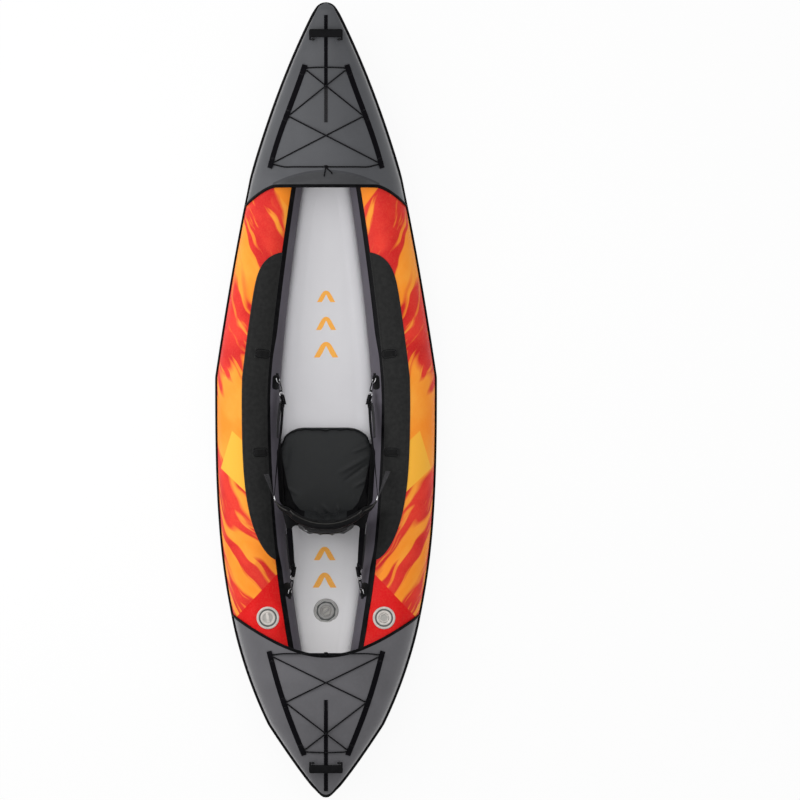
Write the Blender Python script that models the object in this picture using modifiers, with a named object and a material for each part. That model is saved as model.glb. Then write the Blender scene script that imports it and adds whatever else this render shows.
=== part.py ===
"""Inflatable touring kayak for one paddler.

Two air chambers run from stem to stern beside a flat air floor. Fabric decks close the bow and the
stern. +Y is the bow, +X is starboard, +Z is up, and z = 0 is the flat of the hull's bottom panel.
"""
import math

import bmesh
import bpy
from mathutils import Matrix, Vector
from mathutils.bvhtree import BVHTree

# Hull, metres
LENGTH = 3.30
BEAM = 0.923
BOW_TIP = LENGTH / 2
STERN_TIP = -LENGTH / 2
COCKPIT_HALF_GAP = 0.192       # between the chambers amidships, half of it
TIP_HALF_GAP = 0.008
BOW_RISE = 0.20                # keel height = rise * (distance past the flat) squared
STERN_RISE = 0.17
BOW_FLAT_END = 0.45
STERN_FLAT_END = -0.50
TUBE_SIDES = 18
STATIONS = (-1.58, -1.50, -1.41, -1.32, -1.20, -1.06, -0.90, -0.72, -0.54, -0.36, -0.18, 0.0,
            0.18, 0.36, 0.54, 0.72, 0.90, 1.06, 1.20, 1.32, 1.42, 1.50, 1.58)

# Layers of the hull, metres outside the chamber wall
GAP = 0.0005
SKIN = 0.0012
BOTTOM_SKIN = 0.0015
TAPE_LIFT = 0.0022
TAPE = 0.0010
PAD_LIFT = 0.0022
PAD = 0.0040
DECK_LIFT = 0.0050
DECK = 0.0015
STRAP_CLEAR = 0.0016
WEBBING = 0.0022
PIPING_RADIUS = 0.0048
PIPING_LIFT = PIPING_RADIUS + 0.0006
HEM_RADIUS = 0.0043
HEM_LIFT = 0.0082
HEM_OFFSET = 0.0056

# Angles round a chamber: 0 faces outboard, 90 up, 180 the other chamber
TAPE_ANGLES = (127, 139)
PANEL_ANGLES = (4, 20, 40, 60, 80, 100, 120, 132.6)
WALL_ANGLES = (133.4, 140, 160, 180, 200)
DRING_ANGLE = 150

# Deck edges: the cockpit ends of the decks
BOW_EDGE = 0.892
BOW_EDGE_DROP = 0.092
STERN_EDGE = -1.066
STERN_EDGE_RISE = 0.172

# Air floor
FLOOR_HALF_THICKNESS = 0.043
FLOOR_ENDS = (-1.20, 1.06)

# Seat
SEAT_FRONT = -0.113
SEAT_REAR = -0.492
SEAT_HALF_WIDTH = 0.183
SEAT_THICKNESS = 0.062
BACK_HINGE = Vector((0, -0.500, 0.172))
BACK_RADIUS = 0.249
BACK_HALF_WIDTH = 0.165
BACK_HEIGHT = 0.325
BACK_THICKNESS = 0.028

# Valves
SIDE_VALVE_Y = -0.905
SIDE_VALVE_ANGLE = 95
FLOOR_VALVE_Y = -0.878

# Carry handles
HANDLE_PIVOTS = {"bow": 1.497, "stern": -1.507}
HANDLE_REACH = 0.031
HANDLE_LENGTH = 0.141

# Colours: linear red, green, blue; roughness; metallic
COLOURS = {
    "deck_fabric": ((0.112, 0.114, 0.125), 0.75, 0.0),
    "hull_fabric": ((0.150, 0.150, 0.165), 0.7, 0.0),
    "inner_fabric": ((0.075, 0.070, 0.082), 0.75, 0.0),
    "floor_fabric": ((0.58, 0.57, 0.59), 0.6, 0.0),
    "print_fabric": ((0.80, 0.12, 0.035), 0.55, 0.0),
    "pad_foam": ((0.021, 0.021, 0.021), 0.9, 0.0),
    "webbing": ((0.006, 0.005, 0.007), 0.85, 0.0),
    "piping": ((0.008, 0.008, 0.009), 0.6, 0.0),
    "cord": ((0.006, 0.006, 0.007), 0.8, 0.0),
    "seat_fabric": ((0.024, 0.025, 0.027), 0.85, 0.0),
    "valve_plastic": ((0.52, 0.50, 0.46), 0.45, 0.0),
    "handle_rubber": ((0.007, 0.007, 0.008), 0.6, 0.0),
    "zinc": ((0.45, 0.45, 0.46), 0.3, 1.0),
}


def clear_scene():
    for item in list(bpy.data.objects):
        bpy.data.objects.remove(item, do_unlink=True)


def new_collection(name):
    group = bpy.data.collections.new(name)
    bpy.context.scene.collection.children.link(group)
    return group


def make_materials():
    made = {}
    for name, (colour, roughness, metallic) in COLOURS.items():
        mat = bpy.data.materials.new(name)
        mat.use_nodes = True
        shader = mat.node_tree.nodes["Principled BSDF"]
        shader.inputs["Base Color"].default_value = (*colour, 1.0)
        shader.inputs["Roughness"].default_value = roughness
        shader.inputs["Metallic"].default_value = metallic
        made[name] = mat
    return made


clear_scene()
PARTS = new_collection("touring_kayak")
CUTTERS = new_collection("cutters")
MATERIALS = make_materials()


# Making objects

def add_object(name, data, material=None, group=None):
    """Put a mesh or a curve in the scene under the given name."""
    item = bpy.data.objects.new(name, data)
    (group or PARTS).objects.link(item)
    if material:
        data.materials.append(MATERIALS[material])
    return item


def as_cutter(item):
    """Move an object among the cutters, which are not part of the kayak."""
    item.hide_render = True
    item.display_type = "WIRE"
    for group in list(item.users_collection):
        group.objects.unlink(item)
    CUTTERS.objects.link(item)
    return item


def smooth(item, angle=40):
    item.data.shade_smooth()
    item.data.set_sharp_from_angle(angle=math.radians(angle))
    return item


def mesh_object(name, bm, material=None, group=None):
    mesh = bpy.data.meshes.new(name)
    bm.to_mesh(mesh)
    bm.free()
    return smooth(add_object(name, mesh, material, group))


def boolean(item, other, operation):
    """Cut, join or intersect an object with another, which becomes a cutter."""
    mod = item.modifiers.new(operation.lower(), "BOOLEAN")
    mod.operation = operation
    mod.solver = "EXACT"
    mod.object = as_cutter(other)
    return item


def sheet(name, rows, thickness, material, flip=False):
    """An open surface through rows of points, thickened outwards into a skin."""
    nu, nv = len(rows[0]) - 1, len(rows) - 1
    bm = bmesh.new()
    bmesh.ops.create_grid(bm, x_segments=nu, y_segments=nv, size=1.0)
    for vert in bm.verts:
        i = round((vert.co.x + 1) / 2 * nu)
        j = round((vert.co.y + 1) / 2 * nv)
        vert.co = rows[j][i]
    if flip:
        bmesh.ops.reverse_faces(bm, faces=bm.faces)
    item = mesh_object(name, bm, material)
    mod = item.modifiers.new("thickness", "SOLIDIFY")
    mod.thickness = thickness
    mod.offset = 1.0
    mod.use_even_offset = True
    return item


def loft(name, rings, material, group=None):
    """A closed solid through rings of points, with flat ends."""
    bm = bmesh.new()
    loops = [[bm.verts.new(point) for point in ring] for ring in rings]
    count = len(rings[0])
    for near, far in zip(loops, loops[1:]):
        for k in range(count):
            n = (k + 1) % count
            bm.faces.new((near[k], near[n], far[n], far[k]))
    bm.faces.new(loops[0])
    bm.faces.new(loops[-1])
    bmesh.ops.recalc_face_normals(bm, faces=bm.faces)
    return mesh_object(name, bm, material, group)


def pipe(name, points, radius, material, cyclic=False, resolution=1):
    """A round bar or cord: a bevelled curve, made a closed mesh."""
    curve = bpy.data.curves.new(name + "_path", "CURVE")
    curve.dimensions = "3D"
    curve.bevel_depth = radius
    curve.bevel_resolution = resolution
    curve.use_fill_caps = not cyclic
    spline = curve.splines.new("POLY")
    spline.points.add(len(points) - 1)
    for slot, point in zip(spline.points, points):
        slot.co = (*point, 1.0)
    spline.use_cyclic_u = cyclic
    path = bpy.data.objects.new(name + "_path", curve)
    PARTS.objects.link(path)
    bpy.context.view_layer.update()
    ready = path.evaluated_get(bpy.context.evaluated_depsgraph_get())
    mesh = bpy.data.meshes.new_from_object(ready)
    mesh.name = name
    mesh.materials.clear()
    bm = bmesh.new()
    bm.from_mesh(mesh)
    bmesh.ops.remove_doubles(bm, verts=bm.verts, dist=1e-6)
    bmesh.ops.recalc_face_normals(bm, faces=bm.faces)
    bm.to_mesh(mesh)
    bm.free()
    item = add_object(name, mesh, material)
    item.matrix_world = path.matrix_world
    bpy.data.objects.remove(path, do_unlink=True)
    return smooth(item)


def turned(name, profile, segments, material, frame, closed=False):
    """A turned solid: a profile of radii and heights, spun about the frame's Z."""
    bm = bmesh.new()
    verts = [bm.verts.new((radius, 0, height)) for radius, height in profile]
    for a, b in zip(verts, verts[1:]):
        bm.edges.new((a, b))
    if closed:
        bm.edges.new((verts[-1], verts[0]))
    item = mesh_object(name, bm, material)
    mod = item.modifiers.new("turn", "SCREW")
    mod.steps = mod.render_steps = segments
    mod.use_merge_vertices = True
    mod.merge_threshold = 1e-5
    item.matrix_world = frame
    return item


def block(name, size, frame, material=None, bevel=0.0):
    """A rectangular block with its edges rounded."""
    bm = bmesh.new()
    bmesh.ops.create_cube(bm, size=1.0)
    bmesh.ops.scale(bm, vec=size, verts=bm.verts)
    item = mesh_object(name, bm, material)
    if bevel:
        mod = item.modifiers.new("rounding", "BEVEL")
        mod.width = bevel
        mod.segments = 2
    item.matrix_world = frame
    return item


def cylinder(name, radius, depth, frame, sides=24, material=None):
    """A cylinder about the frame's Z, centred on its origin."""
    bm = bmesh.new()
    bmesh.ops.create_cone(bm, cap_ends=True, segments=sides, radius1=radius, radius2=radius,
                          depth=depth)
    item = mesh_object(name, bm, material)
    item.matrix_world = frame
    return item


def frame_of(origin, x_axis, y_axis, z_axis):
    matrix = Matrix((x_axis, y_axis, z_axis)).transposed().to_4x4()
    matrix.translation = origin
    return matrix


def mix(a, b, t):
    return a + (b - a) * t


# Lines of the hull

def half_beam(y):
    """Half the beam at the outer seam: two fair curves that meet amidships, and the two tips."""
    to_bow = max(0.0, (y - 0.096) / (1.712 - 0.096))
    to_stern = max(0.0, (0.148 - y) / (1.700 + 0.148))
    past_bow = max(0.0, BOW_TIP - y)
    past_stern = max(0.0, y - STERN_TIP)
    return min(BEAM / 2 * (1 - to_bow ** 1.58) ** 0.894,
               BEAM / 2 * (1 - to_stern ** 3.244) ** 0.944,
               0.37 * math.sqrt(past_bow),
               0.1437 * math.sqrt(past_stern) + 0.5255 * past_stern)


def half_gap(y):
    """Half the space between the chambers."""
    part = (max(0.0, y) / 1.50) ** 1.35 + (max(0.0, -y) / 1.55) ** 1.9
    return max(TIP_HALF_GAP, COCKPIT_HALF_GAP * (1 - part))


def keel(y):
    """Rocker: how far the bottom of the hull rises towards its ends."""
    return (BOW_RISE * max(0.0, y - BOW_FLAT_END) ** 2
            + STERN_RISE * max(0.0, STERN_FLAT_END - y) ** 2)


class Section:
    """One chamber cut across: its radius and its centre's x and z."""

    def __init__(self, y):
        outer = half_beam(y) - PIPING_LIFT - PIPING_RADIUS
        inner = half_gap(y) + GAP + SKIN
        self.y = y
        self.radius = max((outer - inner) / 2, 0.006)
        self.x = outer - self.radius
        low = (self.radius + GAP) * math.cos(math.pi / TUBE_SIDES) + BOTTOM_SKIN
        self.z = keel(y) + low


SECTIONS = [Section(y) for y in STATIONS]


def facet_point(section, angle, lift):
    """A point of the faceted chamber in one section, as x and z."""
    step = 360 / TUBE_SIDES
    corner = math.floor(angle / step)
    part = angle / step - corner
    reach = section.radius + lift
    ends = []
    for k in (corner, corner + 1):
        turn = math.radians(k * step)
        ends.append((section.x + reach * math.cos(turn), section.z + reach * math.sin(turn)))
    return mix(ends[0][0], ends[1][0], part), mix(ends[0][1], ends[1][1], part)


def tube_point(side, y, angle, lift):
    """A point of the chamber's faceted surface, or a lift outside it. side: 1 starboard, -1 port."""
    last = len(SECTIONS) - 2
    k = 0
    while k < last and SECTIONS[k + 1].y < y:
        k += 1
    a, b = SECTIONS[k], SECTIONS[k + 1]
    part = (y - a.y) / (b.y - a.y)
    ax, az = facet_point(a, angle, lift)
    bx, bz = facet_point(b, angle, lift)
    return Vector((side * mix(ax, bx, part), y, mix(az, bz, part)))


def tube_frame(side, y, angle, lift):
    """A frame on the chamber's surface: Z out of it, Y towards the bow."""
    here = tube_point(side, y, angle, lift)
    along = (tube_point(side, y + 0.04, angle, lift) - tube_point(side, y - 0.04, angle, lift))
    around = (tube_point(side, y, angle - 6, lift) - tube_point(side, y, angle + 6, lift)) * side
    normal = around.cross(along).normalized()
    along.normalize()
    return frame_of(here, along.cross(normal), along, normal)


def stations_between(low, high):
    """The hull's stations between two ends, with the ends themselves."""
    inner = [y for y in STATIONS if low + 0.004 < y < high - 0.004]
    return [low, *inner, high]


def tube_sheet(name, side, angles, ends, lift, thickness, material):
    """A panel of skin that follows a chamber."""
    ys = stations_between(*ends)
    rows = [[tube_point(side, y, angle, lift) for y in ys] for angle in angles]
    return sheet(name, rows, thickness, material, flip=side < 0)


# Decks

def leave_angle(y):
    """Where the deck leaves the chamber: early near the cockpit, which arches the deck there."""
    edge = BOW_EDGE if y > 0 else STERN_EDGE
    tip = BOW_TIP if y > 0 else STERN_TIP
    part = min(1.0, max(0.0, (y - edge) / (tip - edge)))
    start = 60 if y > 0 else 66
    return math.radians(mix(start, 74, part ** 0.6))


def deck_arch(x, y, lift=DECK_LIFT):
    """Height of the deck: round the chamber first, then a fair arch to the centre line."""
    cut = Section(y)
    reach = cut.radius + lift
    leave = leave_angle(y)
    x_leave = cut.x + reach * math.cos(leave)
    if abs(x) > x_leave:
        across = min(abs(x) - cut.x, reach * 0.999)
        return cut.z + math.sqrt(reach ** 2 - across ** 2)
    slope = 1 / math.tan(leave)
    inward = x_leave - abs(x)
    return cut.z + reach * math.sin(leave) + slope * inward - slope * inward ** 2 / (2 * x_leave)


def deck_point(column, y, lift=DECK_LIFT):
    """A point of the deck. column runs from -1, the port seam, to 1, the starboard seam."""
    cut = Section(y)
    reach = cut.radius + lift
    leave = leave_angle(y)
    start = min(0.0078 / cut.radius, 0.6)
    part = abs(column)
    if part > 0.5:
        turn = mix(start, leave, (1 - part) * 2)
        x = cut.x + reach * math.cos(turn)
        z = cut.z + reach * math.sin(turn)
    else:
        x = (cut.x + reach * math.cos(leave)) * part * 2
        z = deck_arch(x, y, lift)
    return Vector((math.copysign(x, column) if column else 0.0, y, z))


def edge_y(end, column):
    """The cockpit edge of a deck, seen from above."""
    spread = abs(deck_point(column, BOW_EDGE if end == "bow" else STERN_EDGE + 0.1).x)
    if end == "bow":
        part = max(0.0, spread / half_beam(0.87) - 0.62) / 0.38
        return BOW_EDGE - BOW_EDGE_DROP * part ** 1.8
    part = spread / half_beam(STERN_EDGE + 0.1)
    return STERN_EDGE + STERN_EDGE_RISE * part ** 2


DECK_COLUMNS = [k / 8 for k in range(-8, 9)]
DECK_ROWS = {"bow": (1.06, 1.13, 1.20, 1.26, 1.32, 1.37, 1.42, 1.50, 1.58, 1.61, 1.636),
             "stern": (-1.13, -1.20, -1.26, -1.32, -1.41, -1.455, -1.50, -1.54, -1.58,
                       -1.61, -1.634)}


def deck_rows(end, column):
    """Where the deck's rows cross one of its columns, from the cockpit edge to the tip."""
    edge, first = edge_y(end, column), DECK_ROWS[end][0]
    return [edge, mix(edge, first, 0.33), mix(edge, first, 0.66), *DECK_ROWS[end]]


DECK_FACETS = {}


def deck_height(x, y, clear):
    """Height of a clearance above the finished deck, or above its edge a little further on."""
    facets = DECK_FACETS["bow" if y > 0 else "stern"]
    place = None
    while place is None:
        place = facets.ray_cast(Vector((x, y, 1)), Vector((0, 0, -1)))[0]
        y += math.copysign(0.006, y)
    return place.z + clear


def deck(end):
    """A fabric deck from its cockpit edge to its tip."""
    lines = [[deck_point(c, y) for y in deck_rows(end, c)] for c in DECK_COLUMNS]
    rows = list(zip(*lines))
    cover = sheet(end + "_deck", rows, DECK, "deck_fabric", flip=end == "stern")
    bpy.context.view_layer.update()
    DECK_FACETS[end] = BVHTree.FromObject(cover, bpy.context.evaluated_depsgraph_get())


# Hull pieces

def side_name(side):
    return "right" if side > 0 else "left"


def air_chamber(side, valve_pocket):
    rings = []
    for cut in SECTIONS:
        angles = [k * 360 / TUBE_SIDES for k in range(TUBE_SIDES)]
        points = [facet_point(cut, angle, 0.0) for angle in angles]
        rings.append([Vector((side * x, cut.y, z)) for x, z in points])
    chamber = loft(side_name(side) + "_air_chamber", rings, "hull_fabric")
    return boolean(chamber, valve_pocket, "DIFFERENCE")


def floor_ring(cut):
    """The air floor cut across: flat faces and round edges that rest against the chambers."""
    e = FLOOR_HALF_THICKNESS
    z = cut.z - cut.radius * math.cos(math.pi / TUBE_SIDES) + e + 0.0015
    reach = cut.radius + 2 * GAP + SKIN + e
    x = cut.x - math.sqrt(reach ** 2 - (cut.z - z) ** 2)
    right = [(x + e * math.cos(a), z + e * math.sin(a))
             for a in (math.radians(d) for d in (90, 45, 0, -45, -90))]
    return [Vector((px, cut.y, pz)) for px, pz in right + [(-px, pz) for px, pz in right[::-1]]]


def air_floor(valve_pocket):
    cuts = [Section(FLOOR_ENDS[0])]
    cuts += [s for s in SECTIONS if FLOOR_ENDS[0] + 0.01 < s.y < FLOOR_ENDS[1] - 0.01]
    cuts.append(Section(FLOOR_ENDS[1]))
    floor = loft("floor_air_deck", [floor_ring(cut) for cut in cuts], "floor_fabric")
    return boolean(floor, valve_pocket, "DIFFERENCE")


def floor_top(y):
    return floor_ring(Section(y))[0].z


def bottom_panel():
    """The panel under both chambers: flat between them, wrapped round their lower sides."""
    ys = stations_between(-1.63, 1.63)
    right = [[tube_point(1, y, angle, GAP) for y in ys] for angle in (-40, -60, -80, -100)]
    centre = [Vector((0, point.y, point.z)) for point in right[-1]]
    left = [[Vector((-p.x, p.y, p.z)) for p in row] for row in right]
    return sheet("bottom_panel", [*left, centre, *right[::-1]], BOTTOM_SKIN, "hull_fabric")


def gunwale_pad(side):
    """A foam pad on the inner top of the chamber, trimmed to its rounded plan outline."""
    name = side_name(side) + "_gunwale_pad"
    pad = tube_sheet(name, side, (70, 80, 100, 120, 126), (-0.70, 0.65), PAD_LIFT, PAD, "pad_foam")
    middle, half = -0.025, 0.638
    outline = []
    steps = 20
    for k in range(steps + 1):
        t = -math.cos(math.pi * k / steps)
        power, root = (12, 2.0) if t > 0 else (4, 1.6)
        width = (1 - abs(t) ** power) ** (1 / root)
        y = middle + half * t
        inner = tube_point(1, y, 126, PAD_LIFT).x
        outer = mix(inner, tube_point(1, y, 80, PAD_LIFT).x + 0.005, width)
        outline.append((side * outer, y))
    outline.append((side * 0.05, middle + half))
    outline.append((side * 0.05, middle - half))
    prism = loft(name + "_outline", [[Vector((x, y, z)) for x, y in outline] for z in (0.1, 0.4)],
                 None)
    return boolean(pad, prism, "INTERSECT")


def offset_plan(points, distance):
    """A route moved sideways in plan, to the left of its direction, by an equal distance."""
    moved = []
    for k, point in enumerate(points):
        before = point - points[k - 1] if k else points[1] - point
        after = points[k + 1] - point if k + 1 < len(points) else before
        sides = [Vector((-step.y, step.x, 0)).normalized() for step in (before, after)]
        middle = (sides[0] + sides[1]).normalized()
        moved.append(point + middle * (distance / max(0.5, middle.dot(sides[0]))))
    return moved


def deck_hem(end):
    """The bound cockpit edge of a deck, led down to the outer seam at both sides."""
    toward_cockpit = -1 if end == "bow" else 1
    edge = [deck_point(column, edge_y(end, column), HEM_LIFT) for column in DECK_COLUMNS]
    route = []
    for k, column in enumerate(DECK_COLUMNS):
        run = edge[min(k + 1, len(edge) - 1)] - edge[max(k - 1, 0)]
        shift = HEM_OFFSET * run.length / math.hypot(run.x, run.z)
        route.append(deck_point(column, edge[k].y + toward_cockpit * shift, HEM_LIFT))
    seams = [tube_point(side, route[index].y, 0, PIPING_LIFT) for side, index in ((-1, 0), (1, -1))]
    return pipe(end + "_hem", [seams[0], *route, seams[1]], HEM_RADIUS, None)


def hull_piping():
    """The welt round the hull's outer seam, joined to the hems of both decks."""
    seam = [tube_point(1, y, 0, 0.0) for y in stations_between(-1.60, 1.60)]
    half = offset_plan(seam, -PIPING_LIFT)
    tips = {}
    for sign, last in ((1, half[-1]), (-1, half[0])):
        tips[sign] = [Vector((half_beam(sign * y) - PIPING_RADIUS, sign * y, last.z))
                      for y in (1.630, 1.641)]
    half = [tips[-1][0], *half, *tips[1]]
    mirrored = [Vector((-p.x, p.y, p.z)) for p in reversed(half)]
    bow_end = Vector((0, BOW_TIP - PIPING_RADIUS, half[-1].z))
    stern_end = Vector((0, STERN_TIP + PIPING_RADIUS, half[0].z))
    loop = pipe("hull_piping", [stern_end, *half, bow_end, *mirrored], PIPING_RADIUS, "piping",
                cyclic=True)
    for end in ("bow", "stern"):
        boolean(loop, deck_hem(end), "UNION")
    return loop


# Deck rigging

def spine_x(end, y):
    """Where the side webbings of a deck run, measured from the centre line."""
    if end == "bow":
        t = (y - 0.968) / (1.384 - 0.968)
        return mix(0.232, 0.089, t) - 0.012 * math.sin(math.pi * t) * (t - 0.2)
    t = (y + 1.053) / (-1.467 + 1.053)
    return mix(0.2335, 0.0935, t) + 0.010 * math.sin(math.pi * t)


RIGGING = {"bow": (0.983, 1.180, 1.372), "stern": (-1.063, -1.257, -1.455)}
WEBBING_WIDTH = 0.023
LOOP_HEIGHT = 0.0068
CORD_RADIUS = 0.0023
CORD_SPREAD = 0.0034


def deck_webbing(end, side):
    """A strip of webbing on the deck, raised into a loop where the cord passes under it."""
    stations = RIGGING[end]
    low, high = min(stations) - 0.020, max(stations) + 0.020
    marks = {low: 0.0, high: 0.0}
    for y in stations:
        for offset, rise in ((-0.018, 0.0), (-0.009, 1.0), (0.009, 1.0), (0.018, 0.0)):
            marks[y + offset] = rise * LOOP_HEIGHT
    for k in range(1, 3):
        for a, b in zip(stations, stations[1:]):
            marks[mix(a, b, k / 3)] = 0.0
    rows = []
    for offset in (WEBBING_WIDTH / 2, -WEBBING_WIDTH / 2):
        row = []
        for y in sorted(marks):
            x = spine_x(end, y) + offset
            row.append(Vector((side * x, y, deck_height(x, y, STRAP_CLEAR) + marks[y])))
        rows.append(row)
    return sheet(f"{end}_{side_name(side)}_deck_webbing", rows, WEBBING, "webbing", flip=side < 0)


def spine_strap(end):
    """The centre webbing of a deck with the cross strap and the two ears that carry the handle."""
    near, far = {"bow": (1.153, 1.598), "stern": (-1.625, -1.245)}[end]
    width = {"bow": 0.017, "stern": 0.022}[end]
    pivot = HANDLE_PIVOTS[end]
    count = 10
    ys = [mix(near, far, k / count) for k in range(count + 1)]
    rows = [[Vector((x, y, deck_height(0, y, STRAP_CLEAR))) for y in ys]
            for x in (width / 2, -width / 2)]
    strap = sheet(end + "_spine_strap", rows, WEBBING, "webbing")
    xs = [0.075 * k / 6 for k in range(-6, 7)]
    rows = [[Vector((x, y, deck_height(x, y, STRAP_CLEAR + 0.0012))) for x in xs]
            for y in (pivot - 0.012, pivot, pivot + 0.012)]
    boolean(strap, sheet(end + "_cross_strap", rows, WEBBING + 0.0006, None), "UNION")
    for side in (-1, 1):
        foot = max(deck_height(0.056, pivot + part, STRAP_CLEAR) for part in (-0.0085, 0.0085))
        top = handle_height(end) + 0.0085
        middle = Vector((side * 0.056, pivot, (foot + top) / 2 + 0.0006))
        ear = block(f"{end}_ear_{side}", (0.0062, 0.017, top - foot), Matrix.Translation(middle))
        hole = cylinder(f"{end}_ear_hole_{side}", 0.0044, 0.012,
                        Matrix.Translation((side * 0.056, pivot, handle_height(end)))
                        @ Matrix.Rotation(math.pi / 2, 4, "Y"), 12)
        boolean(ear, hole, "DIFFERENCE")
        boolean(strap, ear, "UNION")
    return strap


def handle_height(end):
    """Height of the handle's pivot, so that the grip clears the centre webbing at rest."""
    pivot = HANDLE_PIVOTS[end]
    reach = HANDLE_REACH if end == "bow" else -HANDLE_REACH
    peak = max(deck_height(0, pivot, STRAP_CLEAR), deck_height(0, pivot + reach, STRAP_CLEAR))
    return peak + WEBBING + 0.0095


def carry_handle(end):
    """A moulded grip on two arms whose pins turn in the ears of the deck's centre strap."""
    outward = 1 if end == "bow" else -1
    frame = Matrix.Translation((0, HANDLE_PIVOTS[end], handle_height(end)))
    if outward < 0:
        frame = frame @ Matrix.Rotation(math.pi, 4, "Z")
    grip = block(end + "_carry_handle", (HANDLE_LENGTH, 0.030, 0.0135),
                 frame @ Matrix.Translation((0, HANDLE_REACH, 0)), "handle_rubber", 0.0055)
    for side in (-1, 1):
        arm = block(f"{end}_arm_{side}", (0.0080, 0.032, 0.0095),
                    frame @ Matrix.Translation((side * 0.0655, 0.0105, 0)))
        boolean(grip, arm, "UNION")
        pin = cylinder(f"{end}_pin_{side}", 0.0040, 0.018,
                       frame @ Matrix.Translation((side * 0.0565, 0, 0))
                       @ Matrix.Rotation(math.pi / 2, 4, "Y"), 12)
        boolean(grip, pin, "UNION")
    return grip


def bungee(end):
    """The deck's elastic cord, laced corner to corner and knotted at the middle by the cockpit."""
    bottom, mid, top = RIGGING[end]
    onward = 1 if end == "bow" else -1
    over = 2 * CORD_RADIUS + 0.0008
    over_spine = WEBBING + 0.0016
    over_hem = 0.0085 if end == "stern" else 0.0
    knot = (0.0, bottom - onward * 0.010)

    def at(x, y, extra=0.0):
        return Vector((x, y, deck_height(x, y, STRAP_CLEAR + CORD_RADIUS + extra)))

    def stretch(start, finish, lift, steps=8):
        """A taut run between two turns, lifted at the centre line over what it crosses."""
        centre = start[0] / (start[0] - finish[0])
        parts = [k / steps for k in range(1, steps) if abs(k / steps - centre) > 0.06]
        for t in sorted([*parts, centre]):
            x = mix(start[0], finish[0], t)
            raised = lift * max(0.0, 1 - abs(x) / 0.085)
            route.append(at(x, mix(start[1], finish[1], t), raised))

    lacing = [(-1, bottom, 1, 0.0), (1, mid, 1, over_spine), (-1, top, 1, over_spine),
              (1, top, -1, over_spine + over), (-1, mid, -1, over), (1, bottom, -1, 0.0)]
    route = []
    left_at, lift = None, 0.0
    for side, y, way, next_lift in lacing:
        entry, leave = y - way * onward * CORD_SPREAD, y + way * onward * CORD_SPREAD
        x = spine_x(end, y)
        inner, outer = side * (x - 0.0150), side * x
        if left_at:
            stretch(left_at, (inner, entry), lift)
        for place in ((inner, entry), (outer, entry), (outer, leave), (inner, leave)):
            route.append(at(*place))
        left_at, lift = (inner, leave), next_lift
    for index, side in ((len(route), 1), (0, -1)):
        near = [at(side * part, knot[1], over_hem) for part in (0.003, 0.045, 0.09, 0.135, 0.175)]
        route[index:index] = near if side < 0 else near[::-1]
    cord = pipe(end + "_bungee_cord", route, CORD_RADIUS, "cord")
    for side, reach, back in ((-1, 0.007, 0.040), (1, 0.024, 0.030)):
        tail = [at(*knot, over_hem), at(side * reach * 0.5, knot[1] - onward * 0.012, over_hem),
                at(side * reach, knot[1] - onward * back, over_hem)]
        boolean(cord, pipe(f"{end}_cord_tail_{side}", tail, CORD_RADIUS * 0.93, None), "UNION")
    bm = bmesh.new()
    bmesh.ops.create_icosphere(bm, subdivisions=2, radius=0.0062)
    ball = mesh_object(end + "_cord_knot", bm)
    ball.matrix_world = Matrix.Translation(at(*knot, over_hem + 0.0034))
    return boolean(cord, ball, "UNION")


def paddle_keeper(side, y, name):
    """A small webbing loop on the gunwale pad, for a cord that holds the paddle."""
    frame = tube_frame(side, y, 110, PAD_LIFT + PAD + 0.0006)
    half, height, wall = 0.024, 0.0100, 0.0022
    outline = [(-half - 0.010, 0), (-half, 0), (-half * 0.72, height), (half * 0.72, height),
               (half, 0), (half + 0.010, 0)]
    rows = [[frame @ Vector((across, along, rise)) for across, rise in outline]
            for along in (0.011, -0.011)]
    return sheet(name, rows, wall, "webbing", flip=True)


# Valves

def valve(prefix, frame, scale, segments=20):
    """A push valve: body with a dished seat, sprung plunger in its guide, and a lift-off cap."""
    def sized(points):
        return [(radius * scale, height) for radius, height in points]

    body = [(0.0470, 0.0015), (0.0455, 0.0038), (0.0365, 0.0038), (0.0365, -0.0042),
            (0.0215, -0.0042), (0.0215, -0.0235), (0.0046, -0.0235), (0.0046, -0.0275),
            (0.0470, -0.0275)]
    turned(prefix + "_valve_body", sized(body[::-1]), segments, "valve_plastic", frame, closed=True)
    stem = [(0.0, -0.0140), (0.0095, -0.0140), (0.0105, -0.0152), (0.0105, -0.0168),
            (0.0040, -0.0172), (0.0040, -0.0279), (0.0120, -0.0283), (0.0120, -0.0305),
            (0.0, -0.0305)]
    turned(prefix + "_valve_plunger", sized(stem), 12, "valve_plastic", frame)
    cap = [(0.0, 0.0042), (0.0290, 0.0042), (0.0305, 0.0024), (0.0305, -0.0036),
           (0.0208, -0.0036), (0.0205, -0.0062), (0.0, -0.0062)]
    lid = turned(prefix + "_valve_cap", sized(cap), segments, "valve_plastic", frame)
    hexagon = cylinder(prefix + "_cap_recess", 0.0205 * scale, 0.0050,
                       frame @ Matrix.Translation((0, 0, 0.0042)), 6)
    boolean(lid, hexagon, "DIFFERENCE")
    grip = block(prefix + "_cap_grip", (0.034 * scale, 0.0060, 0.0072),
                 frame @ Matrix.Translation((0, 0, 0.0040)) @ Matrix.Rotation(0.9, 4, "Z"))
    boolean(lid, grip, "UNION")


def valve_pocket(prefix, frame, scale):
    return cylinder(prefix + "_valve_pocket", 0.0476 * scale, 0.062,
                    frame @ Matrix.Translation((0, 0, -0.0070)), 40)


# Seat

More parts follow.
